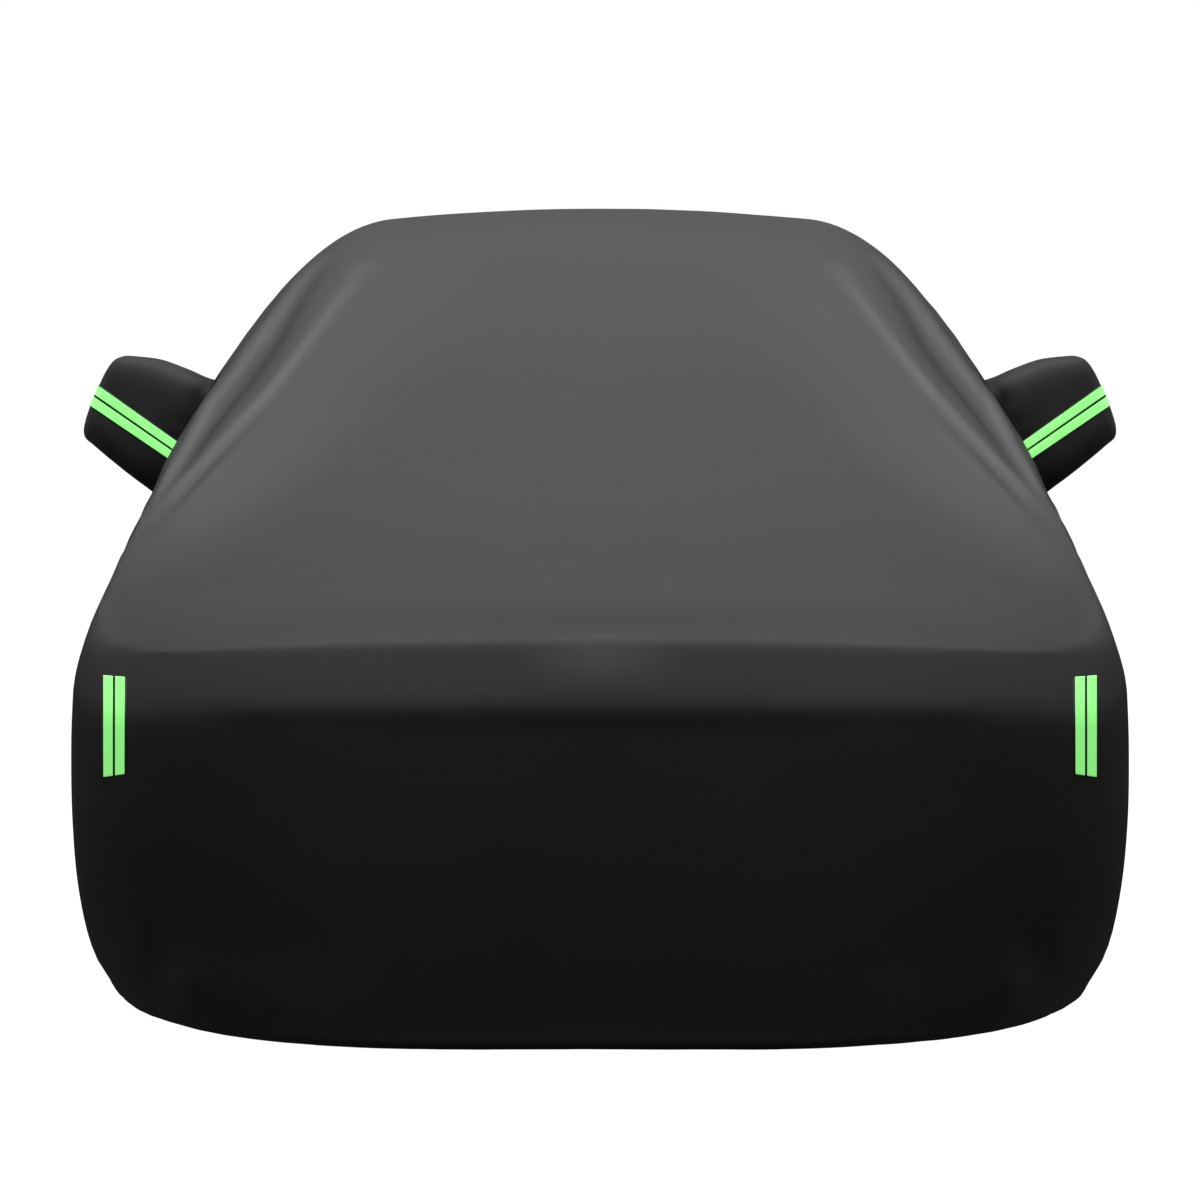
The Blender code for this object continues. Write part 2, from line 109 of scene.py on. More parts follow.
# a material with its shader, whose constants are set on the shader's own sockets
class Recipe:
    def __init__(self, name, constants):
        self.material = bpy.data.materials.new(name)
        self.material.use_nodes = True
        self.tree = self.material.node_tree
        self.shader = self.tree.nodes["Principled BSDF"]
        for socket, value in constants.items():
            self.shader.inputs[socket].default_value = value

    def node(self, kind, settings=None, sockets=None, output=0):
        given = {}
        for key, value in (sockets or {}).items():
            given[key] = value.socket if isinstance(value, Wire) else value
        return Wire(self, addNode(self.tree, kind, settings, given).outputs[output])

    def feed(self, socket, wire):
        self.tree.links.new(wire.socket, self.shader.inputs[socket])

    def mixed(self, factor, low, high):
        sockets = {0: factor, 6: low, 7: high}  # the sockets of a Mix node's colours
        return self.node("ShaderNodeMix", {"data_type": "RGBA"}, sockets, output=2)

    def scaled(self, colour, factor):
        return self.node("ShaderNodeVectorMath", {"operation": "SCALE"}, {0: colour, 3: factor})

    def bump(self, height, distance, strength, under=None):
        sockets = {"Height": height, "Distance": distance, "Strength": strength}
        if under is not None:
            sockets["Normal"] = under
        return self.node("ShaderNodeBump", None, sockets)

    # soft noise whose lumps are about this size in metres
    def cloud(self, spot, size, detail):
        sockets = {"Vector": spot, "Scale": 1 / size, "Detail": detail, "Roughness": 0.55}
        return self.node("ShaderNodeTexNoise", None, sockets)

    # the three numbers of a vector
    def parts(self, vector):
        split = self.node("ShaderNodeSeparateXYZ", None, {0: vector})
        return [Wire(self, out) for out in split.socket.node.outputs]


def newObject(name, mesh, *materials):
    for material in materials:
        mesh.materials.append(material)
    made = bpy.data.objects.new(name, mesh)
    bpy.context.scene.collection.objects.link(made)
    return made


def meshFrom(name, bm):
    mesh = bpy.data.meshes.new(name)
    bm.to_mesh(mesh)
    bm.free()
    mesh.shade_smooth()
    return mesh


# makes an object's modifiers final, so that it is a plain mesh
def settle(obj):
    graph = bpy.context.evaluated_depsgraph_get()
    mesh = bpy.data.meshes.new_from_object(obj.evaluated_get(graph))
    obj.modifiers.clear()
    old, obj.data = obj.data, mesh
    mesh.name = obj.name
    bpy.data.meshes.remove(old)
    return obj


def smoothStep(value):
    value = min(max(value, 0.0), 1.0)
    return value * value * (3 - 2 * value)


# the value of a table's column on a smooth curve through its rows
def smoothThrough(table, column, at, key="back"):
    places = [getattr(row, key) for row in table]
    values = [getattr(row, column) for row in table]
    if at <= places[0]:
        return values[0]
    if at >= places[-1]:
        return values[-1]
    k = max(i for i in range(len(places) - 1) if places[i] <= at)
    span = places[k + 1] - places[k]
    slopes = []
    for i in (k, k + 1):
        low, high = max(i - 1, 0), min(i + 1, len(places) - 1)
        slopes.append((values[high] - values[low]) / (places[high] - places[low]))
    t = (at - places[k]) / span
    return (
        (2 * t**3 - 3 * t**2 + 1) * values[k]
        + (t**3 - 2 * t**2 + t) * span * slopes[0]
        + (3 * t**2 - 2 * t**3) * values[k + 1]
        + (t**3 - t**2) * span * slopes[1]
    )


# the shape of the covered car, as the solids have it, in metres: across from the centre line,
# back from the nose, heights above the ground
car = {
    "length": 4.66,
    "roofHeight": 1.467,
    "roofBack": 2.60,
    "clothOver": 0.0025,  # the frame's origin is under the cloth of the roof
    "roofCrown": 0.116,  # how fast the roof falls away to its sides
    "roofArch": 0.030,  # and to its front and back
    "sideSlope": 1.780,  # how fast the side windows rise towards the centre line
    "sideFoot": 2.472,  # the height where their slopes would meet
    "sideTaper": 0.018,  # how fast the cabin narrows to its front and back
    "sideWidest": 2.20,
    "screenBack": 1.12,  # the windscreen's foot, its height there and its rise for each metre
    "screenFoot": 0.930,
    "screenSlope": 0.554,
    "rearBack": 4.05,  # the same for the rear window
    "rearFoot": 0.990,
    "rearSlope": 0.560,
    "glassBow": 0.34,  # how fast both bend back to their sides
    "roofRound": 0.255,  # rounding between the roof and the side windows
    "pillarRound": 0.10,
    "bridge": 0.21,  # how far the cloth bridges the foot of the cabin
    "deckPower": 3.0,  # how late bonnet, waist and boot fall away to their edges
    "deckHalf": 0.865,
    "hemHeight": 0.108,
    "tailTurn": 0.70,  # how far the tail's corners turn forwards
    "corner": 0.86,  # share of the half width where front meets side
    "noseBlend": 1.30,  # how far from nose and tail the mesh's rows still bend with them
    "tailBlend": 0.90,
    "blendPower": 1.5,
}

# height of bonnet, waist and boot on the centre line and at their edges
Deck = namedtuple("Deck", "back centre edge")
deckTable = (
    Deck(0.07, 0.758, 0.624),
    Deck(0.12, 0.773, 0.638),
    Deck(0.20, 0.789, 0.655),
    Deck(0.40, 0.822, 0.698),
    Deck(0.80, 0.876, 0.786),
    Deck(1.15, 0.910, 0.790),
    Deck(1.60, 0.930, 0.720),
    Deck(2.60, 0.950, 0.790),
    Deck(3.60, 0.985, 0.830),
    Deck(4.20, 1.000, 0.880),
    Deck(4.56, 0.965, 0.850),
)

# level outlines, by their share of the way from the top's edge down to the hem
Ring = namedtuple("Ring", "drop half front tail turn flat full")
ringTable = (
    Ring(0.00, 0.864, 0.0700, 0.085, 0.680, 3.6, 2.1),
    Ring(0.06, 0.881, 0.0430, 0.058, 0.680, 3.6, 2.1),
    Ring(0.11, 0.891, 0.0205, 0.039, 0.672, 3.6, 2.1),
    Ring(0.14, 0.896, 0.0090, 0.030, 0.667, 3.6, 2.1),
    Ring(0.165, 0.899, 0.0030, 0.024, 0.662, 3.6, 2.1),
    Ring(0.19, 0.901, 0.0005, 0.019, 0.660, 3.6, 2.1),
    Ring(0.33, 0.905, 0.0000, 0.006, 0.660, 3.6, 2.1),
    Ring(0.53, 0.904, 0.0000, 0.000, 0.670, 3.6, 2.1),
    Ring(0.72, 0.896, 0.0040, 0.010, 0.700, 3.6, 2.1),
    Ring(0.88, 0.880, 0.0100, 0.028, 0.760, 3.5, 2.1),
    Ring(1.00, 0.862, 0.0180, 0.050, 0.950, 3.3, 2.1),
)

# where the mesh's closest columns run, as a share of the half width, so that they follow the
# pillars
Pillar = namedtuple("Pillar", "back share")
pillarTable = (
    Pillar(0.10, 0.72),
    Pillar(0.60, 0.76),
    Pillar(1.10, 0.85),
    Pillar(1.37, 0.86),
    Pillar(1.53, 0.77),
    Pillar(1.73, 0.66),
    Pillar(1.95, 0.56),
    Pillar(2.30, 0.53),
    Pillar(2.90, 0.53),
    Pillar(3.30, 0.58),
    Pillar(3.90, 0.74),
    Pillar(4.56, 0.72),
)


def place(across, back, height):
    up = height - car["roofHeight"] + car["clothOver"]
    return Vector((across, back - car["roofBack"], up))


# the lower of two heights, rounded off where they are near each other
def lowerOf(a, b, rounding):
    near = max(rounding - abs(a - b), 0.0) / rounding
    return min(a, b) - near * near * rounding / 4


def higherOf(a, b, rounding):
    return -lowerOf(-a, -b, rounding)


def topHeight(across, back):
    x = abs(across)
    centre = smoothThrough(deckTable, "centre", back)
    edge = smoothThrough(deckTable, "edge", back)
    deck = centre - (centre - edge) * (x / car["deckHalf"]) ** car["deckPower"]
    roof = car["roofHeight"] - car["roofCrown"] * x * x
    roof -= car["roofArch"] * (back - car["roofBack"]) ** 2
    taper = car["sideTaper"] * (back - car["sideWidest"]) ** 2
    side = car["sideFoot"] - car["sideSlope"] * (x + taper)
    bow = car["glassBow"] * x * x
    screen = car["screenFoot"] + car["screenSlope"] * (back - car["screenBack"] - bow)
    rear = car["rearFoot"] + car["rearSlope"] * (car["rearBack"] - back - bow)
    cabin = lowerOf(roof, side, car["roofRound"])
    cabin = lowerOf(cabin, screen, car["pillarRound"])
    cabin = lowerOf(cabin, rear, car["pillarRound"])
    return higherOf(deck, cabin, car["bridge"])


# a level outline between the table's own
def ringAt(drop):
    names = Ring._fields[1:]
    return Ring(drop, *(smoothThrough(ringTable, name, drop, "drop") for name in names))


# how far a level outline has turned in at this place across: 0 at the centre, 1 at its side
def turnIn(ring, across):
    left = max(1 - (abs(across) / ring.half) ** ring.flat, 0.0)
    return 1 - left ** (1 / ring.full)


def frontBack(ring, across):
    return ring.front + ring.turn * turnIn(ring, across)


def tailBack(ring, across):
    return car["length"] - ring.tail - car["tailTurn"] * turnIn(ring, across)


def sideAcross(ring, back):
    fromFront = max(ring.front + ring.turn - back, 0.0) / ring.turn
    tailStart = car["length"] - ring.tail - car["tailTurn"]
    fromTail = max(back - tailStart, 0.0) / car["tailTurn"]
    left = 1 - max(fromFront, fromTail) ** ring.full
    return ring.half * max(left, 0.0) ** (1 / ring.flat)


# how far the rows of the top bend back at their ends, to follow nose and tail
def bendOf(back):
    top = ringTable[0]
    bow = turnIn(top, car["corner"] * top.half)
    nose = max(1 - (back - top.front) / car["noseBlend"], 0.0) ** car["blendPower"]
    tailPart = max(1 - (car["length"] - top.tail - back) / car["tailBlend"], 0.0)
    return bow * (top.turn * nose - car["tailTurn"] * tailPart ** car["blendPower"])


bodyCloth = {
    "thick": 0.0018,
    # columns of the mesh from the centre line out: the share where each group starts, its count
    "columns": (
        (0.00, 4), (0.12, 4), (0.24, 4), (0.36, 4), (0.47, 4), (0.57, 4), (0.65, 6),
        (0.72, 3), (0.75, 3), (0.78, 3), (0.81, 3), (0.84, 2), (0.88, 2), (0.92, 2), (0.96, 2),
    ),
    "pillarShare": 0.72,  # the column that follows the pillars
    # rows over the top: metres back where each group starts, its count
    "rows": ((0.00, 9), (0.12, 34), (1.00, 112), (2.20, 24), (3.20, 42)),
    # rows down the sides, as shares of the way from the top's edge to the hem
    "edgeRows": (
        0.006, 0.014, 0.026, 0.042, 0.060, 0.085, 0.110, 0.125, 0.140, 0.152, 0.165, 0.190,
    ),
    "skirtRows": 19,
    "skirtStart": 0.190,
    "skirtEnd": 0.94,
    "hemRows": (0.953, 0.962, 0.980, 1.000),
    "skirtPattern": 3.0,  # keeps the skirt's part of the UV map clear of the top's
    "roundEnd": 0.75,  # the bonnet's edge is rounded up to here
    "roundFade": 0.3,
    "roundReach": 0.045,
    "roundSteps": 14,
    "roundShare": 0.5,  # of the way to the middle of its neighbours, for each point and step
    "waves": 0.0016,  # soft unevenness of the whole cloth
    "waveSize": 0.21,
    "drape": 0.0075,  # soft upright folds of the sides and the tail
    "drapeLong": 0.24,
    "drapeTall": 0.75,
    "drapeLean": 0.35,
    "drapeUpright": 1.4,  # keeps them to where the cloth hangs
    "drapeStart": -2.0,  # they fade in behind the nose
    "drapeFade": 0.8,
    "crestPaintedLight": 60.0,  # painted light on the hidden folds: how much paler a crest, and how much darker a hollow, is painted for each metre that it stands out
    "hemBand": 0.022,
    "hemSoft": 0.006,
    "hemThick": 0.0014,
    "hemStitch": 0.018,
    "gather": 0.0018,  # how deep the drawn-in hem gathers
    "gatherReach": 0.16,
    "gatherSize": 0.105,
    "gatherFine": (2.3, 0.5),  # its finer gathers: how much closer, and how deep beside these
    "gatherLines": (3.7, 9.1),  # the lines of the noise that the two are read from
}

# points along the folds that the photo shows: their place on the cloth, how far they lift it
# and how far they spread
Crease = namedtuple("Crease", "across back height lift spread")
foldTable = {
    "pillarRidge": (
        Crease(0.473, 1.947, 1.345, 0.002, 0.040),
        Crease(0.541, 1.780, 1.241, 0.007, 0.030),
        Crease(0.586, 1.684, 1.178, 0.008, 0.026),
        Crease(0.631, 1.583, 1.111, 0.008, 0.024),
        Crease(0.682, 1.501, 1.054, 0.008, 0.023),
        Crease(0.731, 1.421, 0.997, 0.007, 0.022),
        Crease(0.782, 1.338, 0.943, 0.004, 0.022),
        Crease(0.818, 1.255, 0.898, 0.001, 0.022),
    ),
    "pillarValley": (
        Crease(0.554, 2.02, 1.353, -0.002, 0.032),
        Crease(0.602, 1.89, 1.280, -0.008, 0.028),
        Crease(0.636, 1.76, 1.210, -0.012, 0.025),
        Crease(0.678, 1.66, 1.140, -0.013, 0.023),
        Crease(0.723, 1.57, 1.079, -0.012, 0.021),
        Crease(0.762, 1.47, 1.015, -0.008, 0.020),
        Crease(0.802, 1.38, 0.953, -0.002, 0.022),
    ),
    "pillarCrease": (
        Crease(0.569, 2.08, 1.361, 0.001, 0.024),
        Crease(0.619, 1.94, 1.291, 0.006, 0.018),
        Crease(0.660, 1.82, 1.224, 0.008, 0.016),
        Crease(0.705, 1.72, 1.156, 0.009, 0.016),
        Crease(0.752, 1.65, 1.093, 0.007, 0.016),
        Crease(0.783, 1.53, 1.026, 0.003, 0.018),
    ),
    "screenTrough": (
        Crease(0.623, 1.57, 1.106, -0.001, 0.018),
        Crease(0.670, 1.48, 1.046, -0.005, 0.014),
        Crease(0.722, 1.41, 0.992, -0.007, 0.013),
        Crease(0.769, 1.31, 0.936, -0.005, 0.014),
        Crease(0.804, 1.22, 0.892, -0.001, 0.018),
    ),
    "screenRidge": (
        Crease(0.651, 1.45, 1.035, 0.001, 0.020),
        Crease(0.703, 1.37, 0.982, 0.004, 0.016),
        Crease(0.751, 1.27, 0.927, 0.003, 0.016),
        Crease(0.785, 1.17, 0.884, 0.001, 0.020),
    ),
    "shoulderHollow": (
        Crease(0.862, 1.05, 0.835, -0.001, 0.060),
        Crease(0.862, 1.28, 0.873, -0.012, 0.060),
        Crease(0.862, 1.50, 0.909, -0.014, 0.060),
        Crease(0.862, 1.80, 0.940, -0.001, 0.060),
    ),
    "bonnetSwell": (
        Crease(0.000, 0.64, 0.848, 0.006, 0.130),
        Crease(0.200, 0.66, 0.850, 0.003, 0.110),
    ),
    "noseBump": (
        Crease(0.000, 0.060, 0.742, 0.008, 0.045),
        Crease(0.070, 0.060, 0.740, 0.004, 0.045),
    ),
    "noseHollow": (
        Crease(0.000, 0.00, 0.480, -0.004, 0.110),
        Crease(0.000, 0.00, 0.180, -0.010, 0.190),
    ),
    "cornerStreak": (
        Crease(0.735, 0.26, 0.116, 0.002, 0.026),
        Crease(0.696, 0.18, 0.160, 0.008, 0.024),
        Crease(0.640, 0.12, 0.232, 0.001, 0.034),
    ),
    "cornerTrough": (
        Crease(0.762, 0.28, 0.166, -0.001, 0.026),
        Crease(0.720, 0.20, 0.212, -0.008, 0.028),
        Crease(0.680, 0.15, 0.290, -0.001, 0.040),
    ),
}


# points of the folds that the photo doesn't show, on the top, a side or the tail of the cloth
def onTop(across, back, lift, spread):
    return Crease(across, back, topHeight(across, back), lift, spread)


def onSide(back, drop, lift, spread):
    rim = topHeight(sideAcross(ringTable[0], back), back)
    height = rim + (car["hemHeight"] - rim) * drop
    return Crease(sideAcross(ringAt(drop), back), back, height, lift, spread)


def onTail(across, drop, lift, spread):
    rim = topHeight(across, tailBack(ringTable[0], across))
    height = rim + (car["hemHeight"] - rim) * drop
    return Crease(across, tailBack(ringAt(drop), across), height, lift, spread)


hiddenFolds = {
    "rearRidge": (
        onTop(0.500, 3.40, 0.001, 0.035),
        onTop(0.560, 3.56, 0.007, 0.028),
        onTop(0.610, 3.70, 0.009, 0.026),
        onTop(0.655, 3.83, 0.007, 0.026),
        onTop(0.700, 3.97, 0.001, 0.030),
    ),
    "rearValley": (
        onTop(0.545, 3.38, -0.001, 0.028),
        onTop(0.605, 3.52, -0.008, 0.026),
        onTop(0.655, 3.66, -0.010, 0.025),
        onTop(0.700, 3.79, -0.007, 0.024),
        onTop(0.740, 3.92, -0.001, 0.026),
    ),
    "rearCrease": (
        onTop(0.600, 3.37, 0.001, 0.022),
        onTop(0.655, 3.50, 0.006, 0.020),
        onTop(0.700, 3.63, 0.007, 0.020),
        onTop(0.745, 3.77, 0.005, 0.020),
        onTop(0.785, 3.92, 0.001, 0.024),
    ),
    "bootTrough": (
        onTop(0.600, 3.92, -0.001, 0.040),
        onTop(0.660, 4.08, -0.005, 0.040),
        onTop(0.720, 4.26, -0.001, 0.050),
    ),
    "swag": (
        onSide(1.98, 0.16, 0.001, 0.040),
        onSide(2.30, 0.34, 0.006, 0.050),
        onSide(2.75, 0.52, 0.005, 0.060),
        onSide(3.25, 0.62, 0.001, 0.070),
    ),
    "swagHollow": (
        onSide(2.12, 0.12, -0.001, 0.045),
        onSide(2.48, 0.27, -0.007, 0.055),
        onSide(2.95, 0.42, -0.005, 0.065),
        onSide(3.45, 0.50, -0.001, 0.070),
    ),
    "frontWheelFold": (
        onSide(1.30, 0.30, 0.001, 0.050),
        onSide(1.18, 0.55, 0.005, 0.045),
        onSide(1.10, 0.90, 0.003, 0.035),
    ),
    "rearWheelFold": (
        onSide(3.55, 0.28, 0.001, 0.050),
        onSide(3.72, 0.56, 0.006, 0.048),
        onSide(3.78, 0.90, 0.003, 0.036),
    ),
    "rearWheelHollow": (
        onSide(3.42, 0.36, -0.001, 0.050),
        onSide(3.55, 0.62, -0.006, 0.050),
        onSide(3.60, 0.92, -0.003, 0.040),
    ),
    "sillFold": (
        onSide(2.52, 0.66, 0.001, 0.040),
        onSide(2.44, 0.80, 0.005, 0.034),
        onSide(2.40, 0.94, 0.003, 0.030),
    ),
    "tailStreak": (
        onTail(0.560, 0.16, 0.001, 0.030),
        onTail(0.500, 0.42, 0.006, 0.036),
        onTail(0.420, 0.78, 0.002, 0.040),
    ),
    "tailHollow": (
        onTail(0.460, 0.18, -0.001, 0.040),
        onTail(0.390, 0.46, -0.006, 0.045),
        onTail(0.300, 0.80, -0.001, 0.050),
    ),
}

# painted light and shade: where the cloth is painted paler, as highlights along fold crests and lit
# faces, or darker, as shade in laps, flanks and under the bonnet's edge: here lift is the share of
# the cloth's own colour that is added or taken away
paintedLightTable = {
    "ridge": (
        Crease(0.473, 1.941, 1.345, 0.30, 0.026),
        Crease(0.491, 1.883, 1.312, 0.44, 0.020),
        Crease(0.540, 1.765, 1.241, 0.60, 0.015),
        Crease(0.583, 1.665, 1.177, 0.84, 0.013),
        Crease(0.630, 1.568, 1.112, 1.00, 0.013),
        Crease(0.681, 1.487, 1.054, 0.96, 0.013),
        Crease(0.730, 1.413, 0.998, 0.96, 0.013),
        Crease(0.781, 1.331, 0.943, 0.70, 0.018),
        Crease(0.819, 1.271, 0.897, 0.30, 0.020),
        Crease(0.845, 1.200, 0.860, 0.02, 0.024),
    ),
    "lap": (
        Crease(0.545, 1.998, 1.347, -0.08, 0.028),
        Crease(0.586, 1.863, 1.270, -0.28, 0.024),
        Crease(0.621, 1.753, 1.199, -0.36, 0.022),
        Crease(0.665, 1.652, 1.131, -0.38, 0.022),
        Crease(0.710, 1.559, 1.070, -0.34, 0.020),
        Crease(0.755, 1.475, 1.010, -0.34, 0.016),
        Crease(0.785, 1.390, 0.958, -0.04, 0.016),
    ),
    "outer": (
        Crease(0.562, 2.048, 1.357, 0.30, 0.024),
        Crease(0.612, 1.916, 1.286, 0.60, 0.015),
        Crease(0.651, 1.797, 1.218, 0.80, 0.013),
        Crease(0.696, 1.694, 1.151, 0.95, 0.013),
        Crease(0.744, 1.613, 1.090, 1.30, 0.018),
        Crease(0.776, 1.509, 1.022, 1.35, 0.018),
        Crease(0.811, 1.414, 0.956, 1.50, 0.024),
        Crease(0.834, 1.324, 0.902, 0.90, 0.034),
        Crease(0.860, 1.200, 0.850, 0.10, 0.040),
    ),
    "trough": (
        Crease(0.646, 1.530, 1.075, -0.01, 0.012),
        Crease(0.663, 1.475, 1.042, -0.08, 0.012),
        Crease(0.714, 1.392, 0.987, -0.22, 0.012),
        Crease(0.766, 1.318, 0.934, -0.16, 0.014),
        Crease(0.806, 1.239, 0.892, -0.02, 0.016),
    ),
    "second": (
        Crease(0.646, 1.440, 1.032, 0.02, 0.016),
        Crease(0.696, 1.354, 0.978, 0.12, 0.016),
        Crease(0.752, 1.271, 0.928, 0.12, 0.018),
        Crease(0.792, 1.194, 0.886, 0.02, 0.020),
    ),
    "side": (
        Crease(0.422, 1.866, 1.310, 0.14, 0.170),
        Crease(0.441, 1.813, 1.277, 0.20, 0.170),
        Crease(0.537, 1.609, 1.146, 0.34, 0.160),
        Crease(0.629, 1.414, 1.022, 0.52, 0.160),
        Crease(0.725, 1.215, 0.915, 0.62, 0.150),
        Crease(0.762, 1.111, 0.875, 0.52, 0.150),
        Crease(0.800, 0.950, 0.840, 0.30, 0.150),
        Crease(0.830, 0.700, 0.790, 0.05, 0.130),
    ),
    "band": (
        Crease(0.000, 0.050, 0.724, 1.15, 0.036),
        Crease(0.062, 0.050, 0.724, 0.66, 0.036),
        Crease(0.130, 0.050, 0.724, 0.08, 0.034),
    ),
    "bonnet": (
        Crease(0.000, 0.600, 0.853, -0.05, 0.260),
        Crease(0.300, 0.620, 0.848, -0.05, 0.260),
    ),
    "bonnetFront": (
        Crease(0.000, 0.170, 0.800, -0.34, 0.120),
        Crease(0.300, 0.185, 0.795, -0.26, 0.120),
        Crease(0.550, 0.235, 0.780, -0.16, 0.120),
        Crease(0.720, 0.330, 0.765, -0.05, 0.110),
    ),
    "bandFoot": (
        Crease(0.000, 0.000, 0.640, -0.38, 0.018),
        Crease(0.300, 0.010, 0.640, -0.38, 0.018),
        Crease(0.550, 0.060, 0.636, -0.38, 0.018),
        Crease(0.690, 0.170, 0.627, -0.42, 0.020),
        Crease(0.745, 0.280, 0.617, -0.46, 0.022),
        Crease(0.790, 0.380, 0.607, -0.46, 0.022),
        Crease(0.840, 0.520, 0.595, -0.30, 0.022),
        Crease(0.880, 0.700, 0.580, -0.02, 0.022),
    ),
    "wing": (
        Crease(0.872, 0.760, 0.770, 0.10, 0.026),
        Crease(0.867, 0.655, 0.752, 0.75, 0.026),
        Crease(0.860, 0.570, 0.735, 0.85, 0.026),
        Crease(0.840, 0.500, 0.730, 0.55, 0.026),
        Crease(0.815, 0.445, 0.728, 0.35, 0.026),
        Crease(0.780, 0.390, 0.730, 0.10, 0.026),
    ),
    "lowCorner": (
        Crease(0.820, 0.500, 0.150, 0.20, 0.110),
        Crease(0.740, 0.250, 0.150, 0.70, 0.110),
        Crease(0.614, 0.120, 0.150, 0.80, 0.110),
        Crease(0.475, 0.070, 0.135, 0.80, 0.100),
        Crease(0.320, 0.040, 0.130, 0.15, 0.090),
    ),
    "lowStreak": (
        Crease(0.740, 0.270, 0.112, 0.10, 0.018),
        Crease(0.696, 0.184, 0.160, 0.50, 0.020),
        Crease(0.650, 0.130, 0.220, 0.05, 0.024),
    ),
}


# places of the mesh's columns, from 0 on the centre line to 1 at the side
def columnShares():
    starts = [start for start, _ in bodyCloth["columns"]] + [1.0]
    shares = []
    for (start, steps), end in zip(bodyCloth["columns"], starts[1:]):
        shares += [start + (end - start) * k / steps for k in range(steps)]
    return shares + [1.0]


# places of the mesh's rows, in metres back
def rowBacks():
    starts = [start for start, _ in bodyCloth["rows"]]
    starts[0] = ringTable[0].front
    ends = starts[1:] + [car["length"] - ringTable[0].tail]
    backs = []
    for (_, steps), start, end in zip(bodyCloth["rows"], starts, ends):
        backs += [start + (end - start) * k / steps for k in range(steps)]
    return backs + [ends[-1]]


# moves the columns over, so that the closest ones stay on the pillars
def shareOf(share, back):
    pillar, own = smoothThrough(pillarTable, "share", back), bodyCloth["pillarShare"]
    if share <= own:
        return share * pillar / own
    return pillar + (1 - pillar) * (share - own) / (1 - own)


# half a level outline as (across, back): front centre, corner, side, corner, tail centre
def outlineOf(ring, shares, backs):
    corner = car["corner"] * ring.half
    first, last = frontBack(ring, corner), tailBack(ring, corner)
    side = [back + bendOf(back) for back in backs]
    points = [(share * corner, frontBack(ring, share * corner)) for share in shares]
    for back in side[1:-1]:
        at = first + (last - first) * (back - side[0]) / (side[-1] - side[0])
        points.append((sideAcross(ring, at), at))
    points += [(share * corner, tailBack(ring, share * corner)) for share in reversed(shares)]
    return points


# such a half and its mirror image as one closed loop, from the front centre round
def wholeRing(half):
    return half + [(-across, *rest) for across, *rest in reversed(half[1:-1])]


# how far one fold lifts each of many points
def foldLift(points, creases):
    best = np.full(len(points), np.inf)
    lift = np.zeros(len(points))
    for start, end in zip(creases, creases[1:]):
        a = np.array(place(start.across, start.back, start.height))
        along = np.array(place(end.across, end.back, end.height)) - a
        share = np.clip((points - a) @ along / (along @ along), 0.0, 1.0)
        apart = np.linalg.norm(points - a - share[:, None] * along, axis=1)
        apart /= start.spread + (end.spread - start.spread) * share
        height = (start.lift + (end.lift - start.lift) * share) * np.exp(-apart**2)
        nearer = apart < best
        best = np.where(nearer, apart, best)
        lift = np.where(nearer, height, lift)
    return lift


# the top as one grid, with its UV map in metres of cloth; what it gives back is its edge, from
# the front centre round
def makeTop(bm, layer, shares, backs):
    top = ringTable[0]
    corner = car["corner"] * top.half
    rim = outlineOf(top, shares, backs)
    lastColumn, lastRow = len(shares) - 1, len(backs) - 1
    grid = {}
    for j, back in enumerate(backs):
        edgeAcross = rim[lastColumn + j][0]
        for i, share in enumerate(shares):
            across = shareOf(share, back) * edgeAcross
            at = back + bendOf(back) * turnIn(top, share * corner) / turnIn(top, corner)
            height = topHeight(across, at)
            grid[i, j] = bm.verts.new(place(across, at, height))
            grid[-i, j] = bm.verts.new(place(-across, at, height)) if i else grid[0, j]
    flat = {(0, 0): (0.0, 0.0)}
    for j in range(lastRow + 1):
        if j:
            down = (grid[0, j].co - grid[0, j - 1].co).length
            flat[0, j] = (0.0, flat[0, j - 1][1] + down)
        for i in range(1, lastColumn + 1):
            out = flat[i - 1, j][0] + (grid[i, j].co - grid[i - 1, j].co).length
            flat[i, j] = (out, flat[0, j][1])
            flat[-i, j] = (-out, flat[0, j][1])
    for j in range(lastRow):
        for i in range(-lastColumn, lastColumn):
            around = ((i, j), (i + 1, j), (i + 1, j + 1), (i, j + 1))
            face = bm.faces.new([grid[at] for at in around])
            for loop, at in zip(face.loops, around):
                loop[layer].uv = flat[at]
    right = [grid[i, 0] for i in range(lastColumn + 1)]
    right += [grid[lastColumn, j] for j in range(1, lastRow)]
    right += [grid[i, lastRow] for i in range(lastColumn, -1, -1)]
    left = [grid[-i, lastRow] for i in range(1, lastColumn + 1)]
    left += [grid[-lastColumn, j] for j in range(lastRow - 1, 0, -1)]
    left += [grid[-i, 0] for i in range(lastColumn, 0, -1)]
    return right + left


